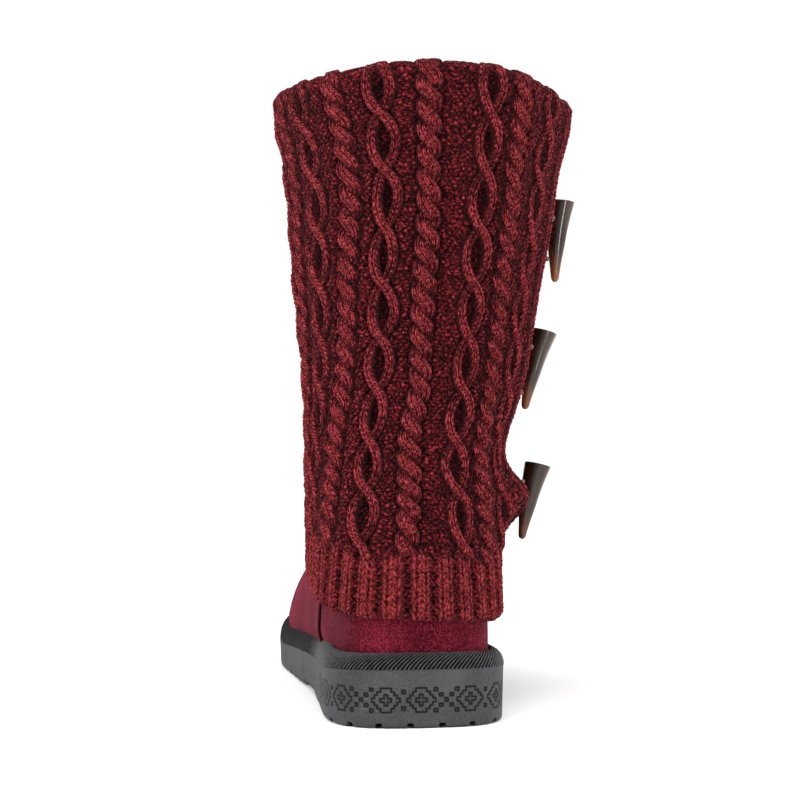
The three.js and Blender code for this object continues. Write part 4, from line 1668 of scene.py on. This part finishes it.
@dataclass
class Rand:
    """Quarter-round binding with slanting ridges over the join of sole and foot."""

    sole: SoleForm
    setback: float = 0.3
    depth: float = 5.2
    pitch: float = 1.95
    slant: float = 5.6

    def build(self) -> None:
        """Makes the ridged band."""
        turn, walked = self.sole.walk(lambda along: np.full(np.shape(along), 0.42))
        total = walked[-1]
        count = round(total / self.pitch)
        walk = walked / total * count
        section = np.linspace(0, 1, 26)
        bend = section * math.pi / 2
        rows, ridges = [], []
        along = self.sole.raw(turn)[:, 1]
        rise = rand_rise(along, self.sole)
        fade = 0.35 + 0.65 * (1 - smooth(along, 70, 150))
        for share, angle in zip(section, bend):
            inset = self.setback + self.depth * (1 - math.cos(angle)) ** 0.9
            lift = math.sin(angle) ** 0.8
            wave = np.sin(2 * np.pi * (walk + self.slant * share))
            ridge = smooth(wave, -0.5, 1.0)
            inset = inset - 1.1 * (ridge - 0.5) * math.cos(angle) * fade
            up = lift * rise + 0.65 * (ridge - 0.5) * math.sin(angle) * fade
            rows.append(lay(self.sole.outline(turn, inset), self.sole.top, up))
            # 'ridge' numbers set the binding's painted highlights and painted shade, evening out towards the
            # toe.
            ridges.append(mix(0.45, ridge, fade))
        inner = self.setback + self.depth
        rows.append(lay(self.sole.outline(turn, inner + 2.0), self.sole.top, rise - 2.5))
        # The tucked-in inner edge takes the darkest painted shade.
        ridges.append(np.zeros(len(turn)))
        centre = lay(self.sole.outline(turn, inner), self.sole.top, 0)[None]
        values = {"ridge": np.array(ridges)}
        piece = wrap_sheet("rand_binding", np.array(rows), centre, Facing.OUT, values, weld=True)
        finish_piece(piece, BINDING, ["rand"])


# Toggles


@dataclass
class ToggleSet:
    """Horn toggles on shanks, each with its cord loop."""

    form: ShaftForm
    length: float = TOGGLE_LENGTH
    top_radius: float = 6.4
    tip_radius: float = 3.2
    ahead: float = 5
    ground: float = 2.2
    rib: float = 1.7
    cord: float = 1.1
    ply: float = 3.0
    loop_height: float = 22
    loop_reach: float = 6
    clearance: float = 0.3
    top_steps: tuple[tuple[float, float], ...] = ((0.9, 0.35), (1.6, -0.25), (2.0, 0.0))
    tip_steps: tuple[tuple[float, float], ...] = ((0.5, 0.9), (0.9, 0.75), (0.9, 0.3))

    def place(self, toggle: Toggle, rear: float, up: float, out: float) -> Array:
        """A place on the placket by a toggle.

        Args:
            toggle: the toggle.
            rear: how far towards the rear.
            up: how far up.
            out: how far out from the knit's ground.
        Returns:
            The point in the boot's frame.
        """
        height = toggle_height(toggle, self.form) + up / self.form.rise
        seat_angle = PLACKET_ANGLE - math.radians(self.ahead)
        apart = self.form.ring(height, seat_angle) - self.form.ring(height, seat_angle + 0.1)
        angle = seat_angle + rear * 0.1 / float(np.linalg.norm(apart))
        pull = pull_out(self.form, np.array(height), np.array(angle))
        return self.form.ring(height, angle, self.ground - pull - out)

    def matrix(self, toggle: Toggle) -> Matrix:
        """The toggle's frame, with X to the rear and Y outwards.

        Args:
            toggle: the toggle.
        Returns:
            The frame, in metres.
        """
        seat_point = self.place(toggle, 0, 0, 0)
        rear = self.place(toggle, 1, 0, 0) - seat_point
        rear[2] = 0
        rear /= np.linalg.norm(rear)
        out = np.cross([0, 0, 1], rear)
        up = (0, 0, 1)
        axes = [(rear[k], out[k], up[k], seat_point[k] * MM) for k in range(3)]
        shift = Matrix.Translation((0, (self.stand_off() + toggle.out) * MM, -toggle.drop * MM))
        lean = Matrix.Rotation(-math.radians(toggle.lean), 4, "X")
        return Matrix((*axes, (0, 0, 0, 1))) @ shift @ lean

    def middle_radius(self) -> float:
        """The horn's radius at its middle."""
        return float(mix(self.tip_radius, self.top_radius, 0.55))

    def stand_off(self) -> float:
        """How far the horn's axis stands off the knit's ground."""
        return self.rib / 2 + 2 * self.cord + self.middle_radius() + 6 * self.clearance

    def horn(self, number: int, toggle: Toggle) -> None:
        """Turns one horn from a cone, cut into rings, waisted and domed.

        Args:
            number: the toggle's number from the top.
            toggle: the toggle.
        """
        clear_selection()
        bpy.ops.mesh.primitive_cone_add(
            vertices=48, radius1=self.tip_radius * MM, radius2=self.top_radius * MM,
            depth=self.length * MM, end_fill_type="NGON")
        piece = bpy.context.object
        piece.name = piece.data.name = f"horn_toggle_{number}"
        bpy.ops.object.mode_set(mode="EDIT")
        for level in np.linspace(-17, 17, 24):
            bpy.ops.mesh.select_all(action="SELECT")
            bpy.ops.mesh.bisect(plane_co=(0, 0, level * MM), plane_no=(0, 0, 1))
        for side, steps in ((1, self.top_steps), (-1, self.tip_steps)):
            bpy.ops.mesh.select_mode(type="FACE")
            bpy.ops.mesh.select_all(action="DESELECT")
            bpy.ops.object.mode_set(mode="OBJECT")
            for face in piece.data.polygons:
                face.select = abs(face.normal.z) > 0.9 and face.center.z * side > 0
            bpy.ops.object.mode_set(mode="EDIT")
            for inward, rise in steps:
                bpy.ops.mesh.inset(thickness=inward * MM)
                bpy.ops.transform.translate(value=(0, 0, side * rise * MM))
        bpy.ops.object.mode_set(mode="OBJECT")
        mesh = piece.data
        co = read(mesh.vertices, "co") / MM
        share = np.clip((co[:, 2] + self.length / 2) / self.length, 0, 1)
        waist = (1 - 0.09 * np.sin(np.pi * share) ** 1.2) * mix(0.56, 1, smooth(share, -0.12, 0.5))
        co[:, :2] *= waist[:, None]
        co[:, 1] += 0.8 * (share - 0.5) ** 2 * 4 - 0.4
        co[:, 2] *= toggle.share
        co[:, 0] *= 0.97
        tip = smooth(0.37 - share - 0.10 * co[:, 1] / self.top_radius, 0.0, 0.36) * toggle.amber
        # 'side' runs from the face towards the boot to the outer face, for the finish's painted shade and
        # painted highlight.
        side = np.clip(0.5 + 0.5 * co[:, 1] / self.top_radius, 0, 1)
        carry(mesh, "tip", tip)
        carry(mesh, "side", side)
        mesh.vertices.foreach_set("co", (co * MM).ravel())
        mesh.transform(self.matrix(toggle))
        mesh.update()
        clear_selection()
        piece.select_set(True)
        bpy.context.view_layer.objects.active = piece
        bpy.ops.object.shade_smooth_by_angle(angle=math.radians(38))
        finish_piece(piece, HORN, [f"toggle_{number}"])

    def tube(self, name: str, path: Array, radius: float, nodes: Sequence[str]) -> None:
        """Sweeps a twisted cord along a path, closed at both ends.

        Args:
            name: the piece's name.
            path: points of the path.
            radius: the cord's radius.
            nodes: solids that it stands for.
        """
        fine = np.linspace(0, len(path) - 1, 8 * len(path))
        line = np.stack([np.interp(fine, np.arange(len(path)), path[:, k]) for k in range(3)], -1)
        kernel = np.ones(9) / 9
        padded = np.pad(line, ((4, 4), (0, 0)), mode="edge")
        line = np.stack([np.convolve(padded[:, k], kernel, "valid") for k in range(3)], -1)
        tangent = np.gradient(line, axis=0)
        tangent /= np.linalg.norm(tangent, axis=1, keepdims=True)
        side = np.cross(tangent, [0.0, 0.0, 1.0] if abs(tangent[0, 2]) < 0.8 else [-1.0, 0.0, 0.0])
        side /= np.linalg.norm(side, axis=1, keepdims=True)
        other = np.cross(tangent, side)
        around = np.radians(np.linspace(0, 360, 17))
        walked = np.r_[0, np.cumsum(np.linalg.norm(np.diff(line, axis=0), axis=1))]
        size = np.full(len(line), radius)
        size[0] = size[-1] = 0.02
        cos, sin = np.cos(around)[None, :, None], np.sin(around)[None, :, None]
        points = line[:, None] + size[:, None, None] * (cos * side[:, None] + sin * other[:, None])
        values = {"run": walked[:, None] / 1.1, "round": np.arange(17) / 8.0}
        piece = wrap_sheet(name, points, line[:, None], Facing.OUT, values, weld=True)
        finish_piece(piece, CORD, nodes)

    def shank(self, number: int, toggle: Toggle) -> None:
        """The short cord that holds the horn to the knit.

        Args:
            number: the toggle's number from the top.
            toggle: the toggle.
        """
        matrix = self.matrix(toggle)
        low = -(self.stand_off() - self.rib / 2 - self.clearance) / math.cos(math.radians(toggle.lean))
        high = -self.middle_radius() + 2.6
        heights = np.linspace(low - 4, high, 6)
        path = np.array([list(matrix @ Vector((0, y * MM, 0))) for y in heights]) / MM
        self.tube(f"toggle_cord_{number}", path, 1.2, [f"toggle_shank_{number}"])

    def loop(self, number: int, toggle: Toggle) -> None:
        """The cord loop, sewn on the flap and passing round the shank.

        Args:
            number: the toggle's number from the top.
            toggle: the toggle.
        """
        flap = self.ply + self.cord + 3 * self.clearance
        under = self.rib / 2 + self.cord + self.clearance
        ahead = 1.2 + self.cord + 5 * self.clearance
        reach = self.loop_reach
        half = [(reach + 6, 0.5, flap), (reach + 2.5, 0.48, flap + 0.3), (reach - 0.5, 0.4, flap - 0.7),
                (0.5, 0.24, under), (-ahead, 0.08, under)]
        spots = half + [(rear, -up, out) for rear, up, out in reversed(half)]
        path = np.array([self.place(toggle, rear, up * self.loop_height - toggle.drop, out)
                         for rear, up, out in spots])
        self.tube(f"cord_loop_{number}", path, self.cord, [f"toggle_loop_{number}"])

    def build(self) -> None:
        """Makes the three toggles."""
        for number, toggle in enumerate(TOGGLES, 1):
            self.horn(number, toggle)
            self.shank(number, toggle)
            self.loop(number, toggle)


# Studio


@dataclass
class Studio:
    """Floor, lights and camera."""

    lens: float = 90
    azimuth: float = 8.7
    distance: float = 0.918
    height: float = 0.144
    aside: float = 0.0058
    air: float = 0.42
    backdrop: float = 1.05

    def floor(self) -> None:
        """A wide pale sheet under the boot."""
        clear_selection()
        bpy.ops.mesh.primitive_plane_add(size=12)
        sheet = bpy.context.object
        sheet.name = "studio_floor"
        sheet.data.transform(Matrix.Translation((0, 0, -0.0004)))
        sheet.data.materials.append(Paper("pale_paper", "").material())

    def lamp(self, name: str, place: Sequence[float], size: float, power: float,
             target: Sequence[float] = (0, -0.05, 0.14), tall: float | None = None) -> None:
        """A soft light that faces the boot.

        Args:
            name: its name.
            place: where it stands, in metres.
            size: its width.
            power: its power in watts.
            target: what it faces.
            tall: its height where it isn't square.
        """
        light = bpy.data.lights.new(name, "AREA")
        light.shape = "RECTANGLE"
        light.size = size
        light.size_y = tall or size
        light.energy = power
        made = bpy.data.objects.new(name, light)
        made.location = place
        made.rotation_euler = (Vector(target) - Vector(place)).to_track_quat("-Z", "Y").to_euler()
        bpy.context.scene.collection.objects.link(made)

    def build(self) -> None:
        """Makes the studio."""
        self.floor()
        scene = bpy.context.scene
        world = bpy.data.worlds.new("studio")
        scene.world = world
        world.use_nodes = True
        nodes, links = world.node_tree.nodes, world.node_tree.links
        glow = nodes["Background"]
        glow.inputs[0].default_value = (1, 1, 1, 1)
        glow.inputs[1].default_value = self.air
        backdrop = nodes.new("ShaderNodeBackground")
        backdrop.inputs[1].default_value = self.backdrop
        backdrop.inputs[0].default_value = (1, 1, 1, 1)
        seen, both = nodes.new("ShaderNodeLightPath"), nodes.new("ShaderNodeMixShader")
        links.new(seen.outputs["Is Camera Ray"], both.inputs[0])
        links.new(glow.outputs[0], both.inputs[1])
        links.new(backdrop.outputs[0], both.inputs[2])
        links.new(both.outputs[0], nodes["World Output"].inputs[0])
        self.lamp("key_left", (1.18, 0.36, 0.92), 1.2, 23)
        self.lamp("rim_right", (-1.2, -0.15, 0.7), 0.7, 12)
        self.lamp("top", (0.1, 0.4, 1.5), 0.8, 18)
        self.lamp("strip", (-0.63, 0.97, 0.16), 0.12, 5, tall=0.5)
        scene.view_settings.view_transform = "Standard"
        scene.view_settings.look = "None"
        turn = math.radians(self.azimuth)
        camera = bpy.data.cameras.new("photo_view")
        camera.lens = self.lens
        camera.sensor_width = 36
        made = bpy.data.objects.new("photo_view", camera)
        made.location = (self.distance * math.sin(turn) + self.aside * math.cos(turn),
                         self.distance * math.cos(turn) - self.aside * math.sin(turn), self.height)
        made.rotation_euler = (math.radians(90), 0, math.radians(180) - turn)
        scene.collection.objects.link(made)
        scene.camera = made


def main() -> None:
    """Builds the boot piece by piece."""
    logging.basicConfig(level=logging.INFO, format="%(message)s")
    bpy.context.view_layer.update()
    sole = SoleForm()
    shaft = ShaftForm()
    foot = FootForm(sole)
    Studio().build()
    Outsole(sole).build()
    Rand(sole).build()
    Footbed(sole).build()
    SuedeFoot(foot, shaft).build()
    KnitSleeve(shaft).build()
    ToggleSet(shaft).build()


if __name__ == "__main__":
    main()
